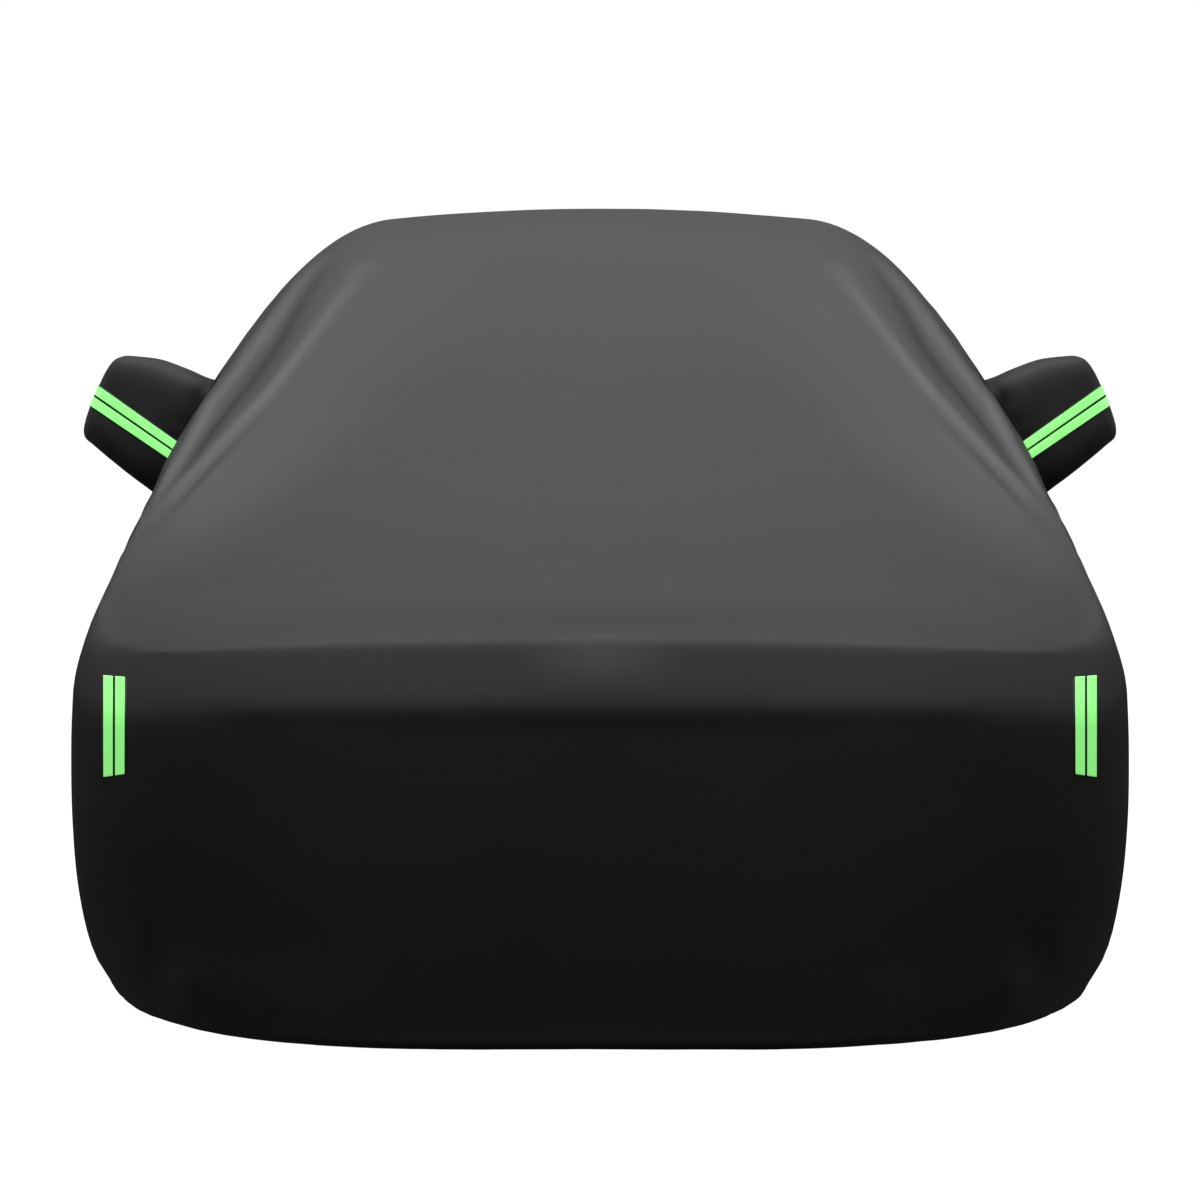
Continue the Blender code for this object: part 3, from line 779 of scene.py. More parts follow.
# the whole cloth without its folds, its rows from the top's edge down to the hem, and the way
# round that edge
def makeBodySurface():
    bm = bmesh.new()
    layer = bm.loops.layers.uv.new("cloth")
    # a layer for the cloth's painted light and shade
    bm.verts.layers.float.new("paintedLight")
    shares, backs = columnShares(), rowBacks()
    above = makeTop(bm, layer, shares, backs)
    heights = [vert.co.z + car["roofHeight"] - car["clothOver"] for vert in above]
    lengths = [0.0]
    for vert, after in zip(above, above[1:] + above[:1]):
        lengths.append(lengths[-1] + (after.co - vert.co).length)
    rows = [above]
    start, end, count = bodyCloth["skirtStart"], bodyCloth["skirtEnd"], bodyCloth["skirtRows"]
    drops = [start + (end - start) * n / count for n in range(1, count + 1)]
    for drop in (*bodyCloth["edgeRows"], *drops, *bodyCloth["hemRows"]):
        outline = wholeRing(outlineOf(ringAt(drop), shares, backs))
        below = []
        for (across, back), height in zip(outline, heights):
            low = height + (car["hemHeight"] - height) * drop
            below.append(bm.verts.new(place(across, back, low)))
        for k, vert in enumerate(above):
            after = (k + 1) % len(above)
            face = bm.faces.new((vert, below[k], below[after], above[after]))
            for loop, length in zip(face.loops, (k, k, k + 1, k + 1)):
                down = bodyCloth["skirtPattern"] + loop.vert.co.z
                loop[layer].uv = (lengths[length], down)
        above = below
        rows.append(below)
    return bm, rows, lengths


# rounds the edge between bonnet and nose, which fades out along the wings
def roundEdge(bm, rim):
    tree = KDTree(len(rim))
    for k, vert in enumerate(rim):
        tree.insert(vert.co, k)
    tree.balance()
    last = place(0.0, bodyCloth["roundEnd"], 0.0).y
    close = []
    for vert in bm.verts:
        apart = tree.find(vert.co)[2] / bodyCloth["roundReach"]
        if vert.co.y < last and apart < 1:
            close.append((vert, 1 - apart))
    for _ in range(bodyCloth["roundSteps"]):
        moves = []
        for vert, share in close:
            around = [edge.other_vert(vert).co for edge in vert.link_edges]
            middle = sum(around, Vector()) / len(around)
            fade = smoothStep((last - vert.co.y) / bodyCloth["roundFade"])
            moves.append((middle - vert.co) * min(1.0, 2 * share) * fade * bodyCloth["roundShare"])
        for (vert, _), move in zip(close, moves):
            vert.co += move


# how far soft upright folds lift one point, where the cloth hangs
def hangOf(vert):
    x, y, z = vert.co
    long, tall = bodyCloth["drapeLong"], bodyCloth["drapeTall"]
    lean = bodyCloth["drapeLean"] * z / tall
    drape = smoothStep((y - bodyCloth["drapeStart"]) / bodyCloth["drapeFade"])
    drape *= bodyCloth["drape"] * smoothStep(1 - bodyCloth["drapeUpright"] * vert.normal.z)
    return drape * noise.noise(Vector((x / long, y / long + lean, z / tall)))


# the hem's turned band and the gathers of its elastic
def gathersOf(rows, lengths):
    hem, reach = rows[-1], bodyCloth["gatherReach"]
    closer, finer = bodyCloth["gatherFine"]
    line, finerLine = bodyCloth["gatherLines"]
    gathers = {}
    for row in rows[len(rows) // 2:]:
        for k, vert in enumerate(row):
            rise = (vert.co - hem[k].co).length
            if rise > reach:
                continue
            at = lengths[k] / bodyCloth["gatherSize"]
            pull = noise.noise(Vector((at, line, 0.0)))
            pull += finer * noise.noise(Vector((closer * at, finerLine, 0.0)))
            fade = 1 - smoothStep(rise / reach)
            edge = smoothStep((rise - bodyCloth["hemBand"]) / bodyCloth["hemSoft"])
            gathers[vert] = bodyCloth["gather"] * pull * fade + bodyCloth["hemThick"] * (1 - edge)
    return gathers


# places of the points, all of them moved over to the right half
def halfPoints(verts):
    points = np.array([vert.co for vert in verts])
    points[:, 0] = np.abs(points[:, 0])
    return points


def shapeFolds(bm, rows, lengths):
    bm.normal_update()
    verts = list(bm.verts)
    points = halfPoints(verts)
    lift = sum(foldLift(points, fold) for fold in foldTable.values())
    hidden = sum(foldLift(points, fold) for fold in hiddenFolds.values())
    hidden = hidden + np.array([hangOf(vert) for vert in verts])
    size, depth = bodyCloth["waveSize"], bodyCloth["waves"]
    lift = lift + hidden + np.array([depth * noise.noise(vert.co / size) for vert in verts])
    gathers = gathersOf(rows, lengths)
    normals = [vert.normal.copy() for vert in verts]
    for vert, normal, height in zip(verts, normals, lift):
        vert.co += normal * (float(height) + gathers.get(vert, 0.0))
    points = halfPoints(verts)
    # painted highlights and shade, from the table and on the hidden folds' crests and hollows
    paintedLight = sum(foldLift(points, line) for line in paintedLightTable.values())
    paintedLight = paintedLight + bodyCloth["crestPaintedLight"] * hidden
    layer = bm.verts.layers.float["paintedLight"]
    for vert, painted in zip(verts, paintedLight):
        vert[layer] = float(painted)


bodyBm, skirtRows, rimLengths = makeBodySurface()
roundEdge(bodyBm, skirtRows[0])
shapeFolds(bodyBm, skirtRows, rimLengths)
bodyTree = BVHTree.FromBMesh(bodyBm)
hemPath = []
for hemVert, upperVert in zip(skirtRows[-1], skirtRows[-3]):
    upwards = (upperVert.co - hemVert.co).normalized()
    hemPath.append(hemVert.co + upwards * bodyCloth["hemStitch"])
print("car cover: body cloth shaped,", len(bodyBm.faces), "faces")


mirrorPocket = {
    "thick": 0.0016,
    "sides": 80,
    "rows": 64,
    "power": 4.5,  # 2 is an oval section, more is squarer
    "radius": 0.11,  # of the sleeve on average, for the way round it on the UV map
    "seat": 0.0003,  # room between the sleeve and the hole in the body cloth
    "plugSections": 4,  # sections of the sleeve that the hole is cut with
    "inside": 0.17,  # how far the sleeve runs into the body cloth, in sections
    "insideRows": 3,
    "jointWithin": 4.0,  # the section that is outside the body cloth all round
    "halvings": 22,
    "pucker": 0.0013,  # small gathers where it is sewn on
    "puckers": 17,
    "puckerShift": (1.3, 2),  # how unevenly they are spaced, and how many times round it
    "puckerShare": (0.6, 0.4, 3),  # their even and their uneven part, and how many times round it
    "puckerReach": 0.026,
    "stitchOut": 0.0055,  # the topstitching's distance from the joint
    "waves": 0.0011,
    "waveSize": 0.055,
    "shade": -0.26,  # the whole pocket a share darker than the body cloth
    "jointShade": -0.40,  # painted shade, darker still where it is sewn on beside the body cloth
    "jointReach": 0.050,
    "darkest": -0.9,
}

# sections from inside the body cloth to the closed end: tall and deep are half sizes, and lean
# is in degrees
Section = namedtuple("Section", "step across back height tall deep lean")
sectionTable = (
    Section(0, 0.755, 1.810, 0.989, 0.137, 0.112, 29.0),
    Section(1, 0.820, 1.810, 1.022, 0.122, 0.102, 29.0),
    Section(2, 0.862, 1.815, 1.045, 0.116, 0.095, 27.5),
    Section(3, 0.907, 1.820, 1.069, 0.108, 0.086, 25.5),
    Section(4, 0.948, 1.825, 1.086, 0.095, 0.078, 24.0),
    Section(5, 0.969, 1.827, 1.093, 0.087, 0.072, 23.3),
    Section(6, 0.979, 1.828, 1.097, 0.073, 0.060, 23.3),
    Section(7, 0.984, 1.828, 1.099, 0.047, 0.038, 23.3),
    Section(8, 0.985, 1.828, 1.099, 0.018, 0.015, 23.3),
)
pocketFolds = {
    "jointTrough": (
        Crease(0.745, 1.725, 1.125, -0.008, 0.013),
        Crease(0.785, 1.725, 1.090, -0.005, 0.013),
    ),
    "jointRidge": (
        Crease(0.768, 1.725, 1.108, 0.003, 0.009),
        Crease(0.785, 1.725, 1.066, 0.002, 0.009),
    ),
    "lowerSwell": (
        Crease(0.965, 1.755, 1.040, 0.004, 0.020),
        Crease(0.925, 1.745, 1.000, 0.001, 0.025),
    ),
}
# painted highlight at the closed end of the pocket, painted shade in the lap beside the body cloth
pocketPaintedLight = {
    "end": (
        Crease(0.990, 1.790, 1.050, 0.40, 0.022),
        Crease(0.978, 1.785, 1.015, 1.30, 0.026),
        Crease(0.940, 1.775, 0.985, 0.20, 0.022),
    ),
    "lap": (
        Crease(0.735, 1.725, 1.135, -0.50, 0.026),
        Crease(0.752, 1.720, 1.126, -0.60, 0.026),
        Crease(0.768, 1.715, 1.103, -0.55, 0.022),
        Crease(0.776, 1.715, 1.072, -0.30, 0.016),
    ),
}


# a point of the sleeve at this step through the table and this angle round it
def pocketPoint(step, angle, grow=0.0):
    names = Section._fields[1:]
    across, back, height, tall, deep, lean = (
        smoothThrough(sectionTable, name, step, "step") for name in names
    )
    lean = math.radians(lean)
    backwards, upwards, power = math.cos(angle), math.sin(angle), mirrorPocket["power"]
    reach = (abs(backwards) ** power + abs(upwards) ** power) ** (-1 / power)
    up = Vector((-math.sin(lean), 0.0, math.cos(lean))) * (tall + grow) * reach * upwards
    out = Vector((0.0, (deep + grow) * reach * backwards, 0.0))
    return place(across, back, height) + out + up


# where the sleeve's points stand round it
def sleeveAngles():
    count = mirrorPocket["sides"]
    return [math.tau * (k + 0.5) / count for k in range(count)]


# corners of the faces between closed rows, each with whether it closes the round
def facesRound(rows):
    for low, high in zip(rows, rows[1:]):
        for k in range(len(low)):
            after = (k + 1) % len(low)
            yield (low[k], low[after], high[after], high[k]), after == 0


def insideBody(point):
    nearest, normal, _, _ = bodyTree.find_nearest(point)
    return (point - nearest).dot(normal) < 0


# how far along the sleeve it meets the body cloth, on one line of it
def jointStep(angle):
    low, high = 0.0, mirrorPocket["jointWithin"]
    for _ in range(mirrorPocket["halvings"]):
        middle = (low + high) / 2
        if insideBody(pocketPoint(middle, angle)):
            low = middle
        else:
            high = middle
    return low


# the sleeve without its folds, and its rows from inside the body cloth to the closed end
def makeSleeve(bm, angles):
    layer = bm.loops.layers.uv.new("cloth")
    count, last = mirrorPocket["sides"], sectionTable[-1].step
    insideRows, rowCount = mirrorPocket["insideRows"], mirrorPocket["rows"]
    joints = [jointStep(angle) for angle in angles]
    rows, flat = [], {}
    for n in range(-insideRows, rowCount + 1):
        row = []
        for angle, joint in zip(angles, joints):
            if n < 0:
                step = joint + n * mirrorPocket["inside"] / insideRows
            else:
                step = joint + (last - joint) * n / rowCount
            row.append(bm.verts.new(pocketPoint(step, angle)))
        rows.append(row)
    wayRound = math.tau * mirrorPocket["radius"]
    for k in range(count):
        length = 0.0
        for n, row in enumerate(rows):
            if n:
                length += (row[k].co - rows[n - 1][k].co).length
            flat[row[k]] = (wayRound * k / count, length)
    for corners, closing in facesRound(rows):
        face = bm.faces.new(corners)
        for loop in face.loops:
            u, v = flat[loop.vert]
            if closing and loop.vert in corners[1:3]:
                u += wayRound
            loop[layer].uv = (u, v)
    end = rows[-1]
    middle = bm.verts.new(sum((vert.co for vert in end), Vector()) / count)
    for k, vert in enumerate(end):
        face = bm.faces.new((vert, end[(k + 1) % count], middle))
        for loop in face.loops:
            loop[layer].uv = (loop.vert.co.y, loop.vert.co.z)
    return rows


# the small gathers beside the joint, for each point of the rows outside the body cloth
def puckersOf(rows, angles, joint):
    shift, shiftTurns = mirrorPocket["puckerShift"]
    even, uneven, unevenTurns = mirrorPocket["puckerShare"]
    puckers = {}
    for row in rows:
        for vert, angle, seam in zip(row, angles, joint):
            apart = (vert.co - seam).length / mirrorPocket["puckerReach"]
            turn = mirrorPocket["puckers"] * angle + shift * math.sin(shiftTurns * angle)
            pull = math.sin(turn) * (even + uneven * math.sin(unevenTurns * angle))
            puckers[vert] = mirrorPocket["pucker"] * pull * math.exp(-apart**2)
    return puckers


# painted shade beside the joint and a painted highlight at the end
def shadePocket(bm, shade, rows, joint):
    points = np.array([vert.co for vert in bm.verts])
    painted = sum(foldLift(points, line) for line in pocketPaintedLight.values())
    for vert, own in zip(bm.verts, painted):
        vert[shade] = max(mirrorPocket["shade"] + float(own), mirrorPocket["darkest"])
    for row in rows:
        for vert, seam in zip(row, joint):
            apart = (vert.co - seam).length / mirrorPocket["jointReach"]
            darker = vert[shade] + mirrorPocket["jointShade"] * math.exp(-apart**2)
            vert[shade] = max(darker, mirrorPocket["darkest"])


# the path of the topstitching, just outside the joint
def besideJoint(rows):
    path = []
    for column in zip(*rows):
        length, n = 0.0, 0
        while length < mirrorPocket["stitchOut"]:
            length += (column[n + 1].co - column[n].co).length
            n += 1
        path.append(column[n].co.copy())
    return path


def makePocket():
    angles = sleeveAngles()
    bm = bmesh.new()
    # a layer for the pocket's painted light and shade
    shade = bm.verts.layers.float.new("paintedLight")
    rows = makeSleeve(bm, angles)
    outside = rows[mirrorPocket["insideRows"]:]
    joint = [vert.co.copy() for vert in outside[0]]
    bm.normal_update()
    points = np.array([vert.co for vert in bm.verts])
    lift = sum(foldLift(points, fold) for fold in pocketFolds.values())
    puckers = puckersOf(outside, angles, joint)
    moves = []
    for vert, height in zip(bm.verts, lift):
        wave = mirrorPocket["waves"] * noise.noise(vert.co / mirrorPocket["waveSize"])
        moves.append(vert.normal * (float(height) + wave + puckers.get(vert, 0.0)))
    for vert, move in zip(bm.verts, moves):
        vert.co += move
    shadePocket(bm, shade, rows, joint)
    return bm, besideJoint(outside)


# what is cut out of the body cloth where the sleeve passes through it
def makePlug():
    bm = bmesh.new()
    rows = []
    for step in range(mirrorPocket["plugSections"]):
        ring = [pocketPoint(step, angle, mirrorPocket["seat"]) for angle in sleeveAngles()]
        rows.append([bm.verts.new(point) for point in ring])
    for corners, _ in facesRound(rows):
        bm.faces.new(corners)
    bm.faces.new(reversed(rows[0]))
    bm.faces.new(rows[-1])
    return bm


# the same piece for the other side of the cover
def turnedOver(bm):
    for vert in bm.verts:
        vert.co.x = -vert.co.x
    bmesh.ops.reverse_faces(bm, faces=bm.faces)
    return bm


pocketBm, pocketPath = makePocket()
pocketTree = BVHTree.FromBMesh(pocketBm)
print("car cover: mirror pocket shaped,", len(pocketBm.faces), "faces")


strip = {
    "gap": 0.0003,  # between the tape and its cloth
    "tape": 0.0002,  # thickness of the tape at its very edge
    "edge": 0.0007,  # height of the dark border and of the dark middle line
    "band": 0.0012,  # height of the two bright bands
    # shares of the width: the border, half the middle line, the rise from a line to its band,
    # the rounding of the outer edges, and how far in the outer lines of stitching run
    "border": 0.060,
    "middle": 0.066,
    "slope": 0.03,
    "rounding": 0.02,
    "stitchIn": 0.030,
    "across": 28,  # faces of the mesh
    "along": 60,
    "halvings": 18,
    # the strips were laid straight as seen from a point in front of the nose: their corners are
    # slopes across and up of the lines from it, outer top, inner top, inner low and outer low
    "seenFrom": (0.0, -7.50, 1.38),
    "front": ((0.1048, -0.0894), (0.0998, -0.0898), (0.1000, -0.1102), (0.1049, -0.1109)),
    "mirror": ((0.1063, -0.0273), (0.0862, -0.0417), (0.0880, -0.0457), (0.1084, -0.0318)),
}


# height of the tape over its cloth at a share of its width: border, band, middle, band, border
def tapeHeight(share):
    fromEdge = min(share, 1 - share)
    fromMiddle = abs(share - 0.5)
    rise = smoothStep((fromEdge - strip["border"]) / strip["slope"] + 0.5)
    rise *= smoothStep((fromMiddle - strip["middle"]) / strip["slope"] + 0.5)
    rounded = smoothStep(fromEdge / strip["rounding"])
    return strip["edge"] * rounded + (strip["band"] - strip["edge"]) * rise


# where the line with these slopes meets the tape's cloth, or None inside the body cloth
def stripHit(tree, across, up, sewnIn):
    line = Vector((across, 1.0, up)).normalized()
    hit, normal, _, _ = tree.ray_cast(place(*strip["seenFrom"]), line)
    if hit is None or (sewnIn and insideBody(hit)):
        return None
    return hit, normal


# one tape and the paths of its stitching; turned is for a tape that runs across, not down
def makeStrip(tree, corners, turned, sewnIn):
    outerTop, innerTop, innerLow, outerLow = (Vector(corner) for corner in corners)

    # share runs across the tape's width, run along its length
    def flatPlace(share, run):
        across, down = (run, share) if turned else (share, run)
        return outerTop.lerp(innerTop, across).lerp(outerLow.lerp(innerLow, across), down)

    def hitAt(share, run):
        across, up = flatPlace(share, run)
        return stripHit(tree, across, up, sewnIn)

    # where the tape ends at the seam, between a place on it and one beyond
    def limit(share, inner, outer):
        for _ in range(strip["halvings"]):
            middle = (inner + outer) / 2
            if hitAt(share, middle):
                inner = middle
            else:
                outer = middle
        return inner

    bm = bmesh.new()
    layer = bm.loops.layers.uv.new("tape")
    sheets, flat = ([], []), {}
    for n in range(strip["across"] + 1):
        share = n / strip["across"]
        first = 0.0 if hitAt(share, 0.0) else limit(share, 0.5, 0.0)
        last = 1.0 if hitAt(share, 1.0) else limit(share, 0.5, 1.0)
        columns = ([], [])
        for m in range(strip["along"] + 1):
            run = first + (last - first) * m / strip["along"]
            hit, normal = hitAt(share, run)
            top = strip["gap"] + tapeHeight(share) + strip["tape"]
            for column, height in zip(columns, (strip["gap"], top)):
                vert = bm.verts.new(hit + normal * height)
                column.append(vert)
                flat[vert] = (share, m / strip["along"])
        for sheet, column in zip(sheets, columns):
            sheet.append(column)
    under, over = sheets

    def fill(*verts):
        face = bm.faces.new(verts)
        for loop in face.loops:
            loop[layer].uv = flat[loop.vert]

    for n in range(strip["across"]):
        for m in range(strip["along"]):
            fill(over[n][m], over[n + 1][m], over[n + 1][m + 1], over[n][m + 1])
            fill(under[n][m + 1], under[n + 1][m + 1], under[n + 1][m], under[n][m])
        for m, turn in ((0, 1), (strip["along"], -1)):
            fill(*(under[n][m], under[n + 1][m], over[n + 1][m], over[n][m])[::turn])
    for m in range(strip["along"]):
        for n, turn in ((0, -1), (strip["across"], 1)):
            fill(*(under[n][m], under[n][m + 1], over[n][m + 1], over[n][m])[::turn])
    bmesh.ops.recalc_face_normals(bm, faces=bm.faces)
    paths = []
    for share in (strip["stitchIn"], 0.5, 1 - strip["stitchIn"]):
        column = over[round(share * strip["across"])]
        paths.append([vert.co.copy() for vert in column])
    return bm, paths


frontBm, frontPaths = makeStrip(bodyTree, strip["front"], False, False)
mirrorBm, mirrorPaths = makeStrip(pocketTree, strip["mirror"], True, True)
print("car cover: strips laid on")


cloth = {
    "colour": (0.0355, 0.0355, 0.037, 1.0),
    "dusty": (0.0435, 0.0435, 0.0445, 1.0),
    "specular": 0.10,
    "roughness": 0.51,
    "paintedHeightShade": 0.19,  # painted light by height: how much paler the roof is painted, and how much darker the skirt
    "paintedShadeMiddle": -0.48,  # the height with the cloth's own colour
    "paintedShadeReach": 0.46,
    "pitch": 0.0016,  # from one yarn to the next
    "yarn": 0.00012,  # how far a yarn stands out
    "yarnShow": 0.8,
    "slack": 0.0012,
    "slackSize": 0.07,
    "slackShow": 0.6,
    "handlingSize": 0.35,  # of the patches that hands have dulled
    "fleckSize": 0.004,
    # how much of the change to the dusty colour comes from the patches, the flecks and the weave
    "handlingShare": 0.6,
    "fleckShare": 0.25,
    "weaveShare": 0.15,
    "handlingDulls": 0.10,  # how much rougher the patches and the yarns are
    "weaveDulls": 0.05,
}


# a plain weave on the cloth's own UV map
def makeCloth():
    recipe = Recipe("blackCloth", {"Specular IOR Level": cloth["specular"]})
    along, around, _ = recipe.parts(recipe.node("ShaderNodeUVMap", {"uv_map": "cloth"}))
    warp, weft = along * (1 / cloth["pitch"]), around * (1 / cloth["pitch"])
    over = (warp.floor() + weft.floor()).wrapped(2.0)
    warpYarn = abs((warp * math.pi).sine())
    weftYarn = abs((weft * math.pi).sine())
    weave = warpYarn * over + weftYarn * (1 - over)
    spot = recipe.node("ShaderNodeTexCoord", output=3)  # the piece's own coordinates
    slack = recipe.cloud(spot, cloth["slackSize"], detail=3.0)
    handling = recipe.cloud(spot, cloth["handlingSize"], detail=4.0)
    fleck = recipe.cloud(spot, cloth["fleckSize"], detail=2.0)
    # the painted highlights and shade, which scale the base colour
    paintedLight = recipe.node("ShaderNodeAttribute", {"attribute_name": "paintedLight"}, output=2)
    dust = handling * cloth["handlingShare"] + fleck * cloth["fleckShare"]
    dust = dust + weave * cloth["weaveShare"]
    colour = recipe.mixed(dust, cloth["colour"], cloth["dusty"])
    # painted light by height: paler towards the roof, darker towards the hem
    height = recipe.parts(spot)[2] - cloth["paintedShadeMiddle"]
    fade = (height * (1 / cloth["paintedShadeReach"])).larger(-1.0).smaller(1.0)
    recipe.feed("Base Color", recipe.scaled(colour, paintedLight + 1.0 + fade * cloth["paintedHeightShade"]))
    dull = cloth["roughness"] + handling * cloth["handlingDulls"]
    recipe.feed("Roughness", dull + weave * cloth["weaveDulls"])
    loose = recipe.bump(slack, cloth["slack"], cloth["slackShow"])
    recipe.feed("Normal", recipe.bump(weave, cloth["yarn"], cloth["yarnShow"], loose))
    return recipe.material


tape = {
    "green": (0.32, 0.96, 0.27, 1.0),
    "deep": (0.25, 0.86, 0.21, 1.0),
    "dark": (0.010, 0.016, 0.010, 1.0),
    "unlit": (0.0, 0.0, 0.0, 1.0),
    "specular": 0.5,
    "roughness": 0.34,
    "paintedGlow": 0.66,  # painted glow: light that the tape gives out by itself, standing in for what its reflective face sends back
    "middleLine": 0.75,  # shares of the strip's dark middle and border that stay dark
    "borderLine": 0.8,
    "grainSize": 0.0025,
    "soilSize": 0.05,
    "grainShare": 0.4,  # how much of the change to the deep green is grain, and how much soil
    "soilShare": 0.6,
    "soilDulls": 0.16,  # how much rougher soil and the dark lines are
    "lineDulls": 0.2,
    "beads": 900.0,  # glass beads in each metre
    "beadHeight": 0.0001,
    "beadShow": 0.5,
}


# two bright bands between dark lines, under fine glass beads; the bands have a painted glow
def makeTape():
    constants = {"Specular IOR Level": tape["specular"], "Emission Strength": tape["paintedGlow"]}
    recipe = Recipe("greenTape", constants)
    share = recipe.parts(recipe.node("ShaderNodeUVMap", {"uv_map": "tape"}))[0]
    fromMiddle = abs(share - 0.5)
    pastMiddle = fromMiddle.above(strip["middle"] * tape["middleLine"])
    insideBorder = (0.5 - strip["border"] * tape["borderLine"] - fromMiddle).above(0.0)
    inBand = pastMiddle * insideBorder
    spot = recipe.node("ShaderNodeTexCoord", output=3)
    grain = recipe.cloud(spot, tape["grainSize"], detail=2.0)
    soil = recipe.cloud(spot, tape["soilSize"], detail=4.0)
    deepening = soil * tape["soilShare"] + grain * tape["grainShare"]
    green = recipe.mixed(deepening, tape["green"], tape["deep"])
    recipe.feed("Base Color", recipe.mixed(inBand, tape["dark"], green))
    # painted glow: the bright bands give out their green as emission
    recipe.feed("Emission Color", recipe.mixed(inBand, tape["unlit"], green))
    dull = tape["roughness"] + soil * tape["soilDulls"]
    recipe.feed("Roughness", dull + (1 - inBand) * tape["lineDulls"])
    beads = recipe.node("ShaderNodeTexVoronoi", None, {"Vector": spot, "Scale": tape["beads"]})
    recipe.feed("Normal", recipe.bump(beads, tape["beadHeight"], tape["beadShow"]))
    return recipe.material


thread = {
    "dark": (0.014, 0.014, 0.015, 1.0),
    "pale": (0.050, 0.050, 0.052, 1.0),
    "specular": 0.45,
    "roughness": 0.38,
    "twistSize": 0.0008,
    "twistHeight": 0.0002,
    "twistShow": 0.7,
    "twistDulls": 0.2,
}


def makeThread():
    recipe = Recipe("blackThread", {"Specular IOR Level": thread["specular"]})
    spot = recipe.node("ShaderNodeTexCoord", output=3)
    twist = recipe.cloud(spot, thread["twistSize"], detail=1.0)
    recipe.feed("Base Color", recipe.mixed(twist, thread["dark"], thread["pale"]))
    recipe.feed("Roughness", thread["roughness"] + twist * thread["twistDulls"])
    recipe.feed("Normal", recipe.bump(twist, thread["twistHeight"], thread["twistShow"]))
    return recipe.material


blackCloth = makeCloth()
greenTape = makeTape()
blackThread = makeThread()
print("car cover: materials made")


stitches = {
    "seed": 7,
    "segments": 6,
    "rings": 4,
    "wander": 0.08,  # how far a stitch may turn from its path, in radians
    "hem": {"Spacing": 0.0085, "Length": 0.0060, "Thickness": 0.0012},
    "pocket": {"Spacing": 0.0055, "Length": 0.0040, "Thickness": 0.0010},
    "strip": {"Spacing": 0.0042, "Length": 0.0030, "Thickness": 0.0008},
}


# small rounded stitches along a path, each turned a little its own way
def makeStitchTree():
    tree = bpy.data.node_groups.new("stitches", "GeometryNodeTree")
    interface = tree.interface
    interface.new_socket("Path", in_out="INPUT", socket_type="NodeSocketGeometry")
    for name, value in {**stitches["hem"], "Wander": stitches["wander"]}.items():
        socket = interface.new_socket(name, in_out="INPUT", socket_type="NodeSocketFloat")
        socket.default_value = value
    interface.new_socket("Thread", in_out="INPUT", socket_type="NodeSocketMaterial")
    interface.new_socket("Stitches", in_out="OUTPUT", socket_type="NodeSocketGeometry")

    def add(kind, settings=None, sockets=None):
        return addNode(tree, kind, settings, sockets)

    given = add("NodeGroupInput").outputs
    thick, wander = given["Thickness"], given["Wander"]
    curve = add("GeometryNodeMeshToCurve", None, {"Mesh": given["Path"]})
    spaced = {"Curve": curve.outputs[0], "Length": given["Spacing"]}
    points = add("GeometryNodeCurveToPoints", {"mode": "LENGTH"}, spaced)
    fineness = {"Segments": stitches["segments"], "Rings": stitches["rings"], "Radius": 0.5}
    ball = add("GeometryNodeMeshUVSphere", None, fineness)
    size = add("ShaderNodeCombineXYZ", None, {"X": thick, "Y": thick, "Z": given["Length"]})
    shaped = {"Geometry": ball.outputs["Mesh"], "Scale": size.outputs[0]}
    stitch = add("GeometryNodeTransform", None, shaped)
    less = add("ShaderNodeMath", {"operation": "MULTIPLY"}, {0: wander, 1: -1.0}).outputs[0]
    low = add("ShaderNodeCombineXYZ", None, {"X": less, "Y": less})
    high = add("ShaderNodeCombineXYZ", None, {"X": wander, "Y": wander})
    between = {0: low.outputs[0], 1: high.outputs[0], "Seed": stitches["seed"]}
    turn = add("FunctionNodeRandomValue", {"data_type": "FLOAT_VECTOR"}, between)
    both = {"Rotation": points.outputs["Rotation"], "Rotate By": turn.outputs[0]}
    turned = add("FunctionNodeRotateRotation", {"rotation_space": "LOCAL"}, both)
    laid = add("GeometryNodeInstanceOnPoints", None, {
        "Points": points.outputs["Points"],
        "Instance": stitch.outputs[0],
        "Rotation": turned.outputs[0],
    })
    real = add("GeometryNodeRealizeInstances", None, {"Geometry": laid.outputs[0]})
    finished = {"Geometry": real.outputs[0], "Material": given["Thread"]}
    done = add("GeometryNodeSetMaterial", None, finished)
    add("NodeGroupOutput", None, {"Stitches": done.outputs[0]})
    return tree


stitchTree = makeStitchTree()
stitchItems = stitchTree.interface.items_tree
socketNames = {item.name: item.identifier for item in stitchItems if item.in_out == "INPUT"}


def layStitches(name, paths, closed, kind):
    bm = bmesh.new()
    for path in paths:
        verts = [bm.verts.new(point) for point in path]
        for vert, after in zip(verts, verts[1:] + (verts[:1] if closed else [])):
            bm.edges.new((vert, after))
    obj = newObject(name, meshFrom(name, bm))
    modifier = obj.modifiers.new("stitches", "NODES")
    modifier.node_group = stitchTree
    for label, value in {**stitches[kind], "Thread": blackThread}.items():
        modifier[socketNames[label]] = value
    settle(obj)
    obj.data.shade_smooth()
    return obj


def thicken(obj, thick):
    modifier = obj.modifiers.new("thickness", "SOLIDIFY")
    modifier.thickness = thick
    modifier.offset = -1
    modifier.use_even_offset = True


def cutHole(obj, plug):
    modifier = obj.modifiers.new("hole", "BOOLEAN")
    modifier.operation = "DIFFERENCE"
    modifier.object = plug


def flipped(path):
    return [Vector((-point.x, point.y, point.z)) for point in path]


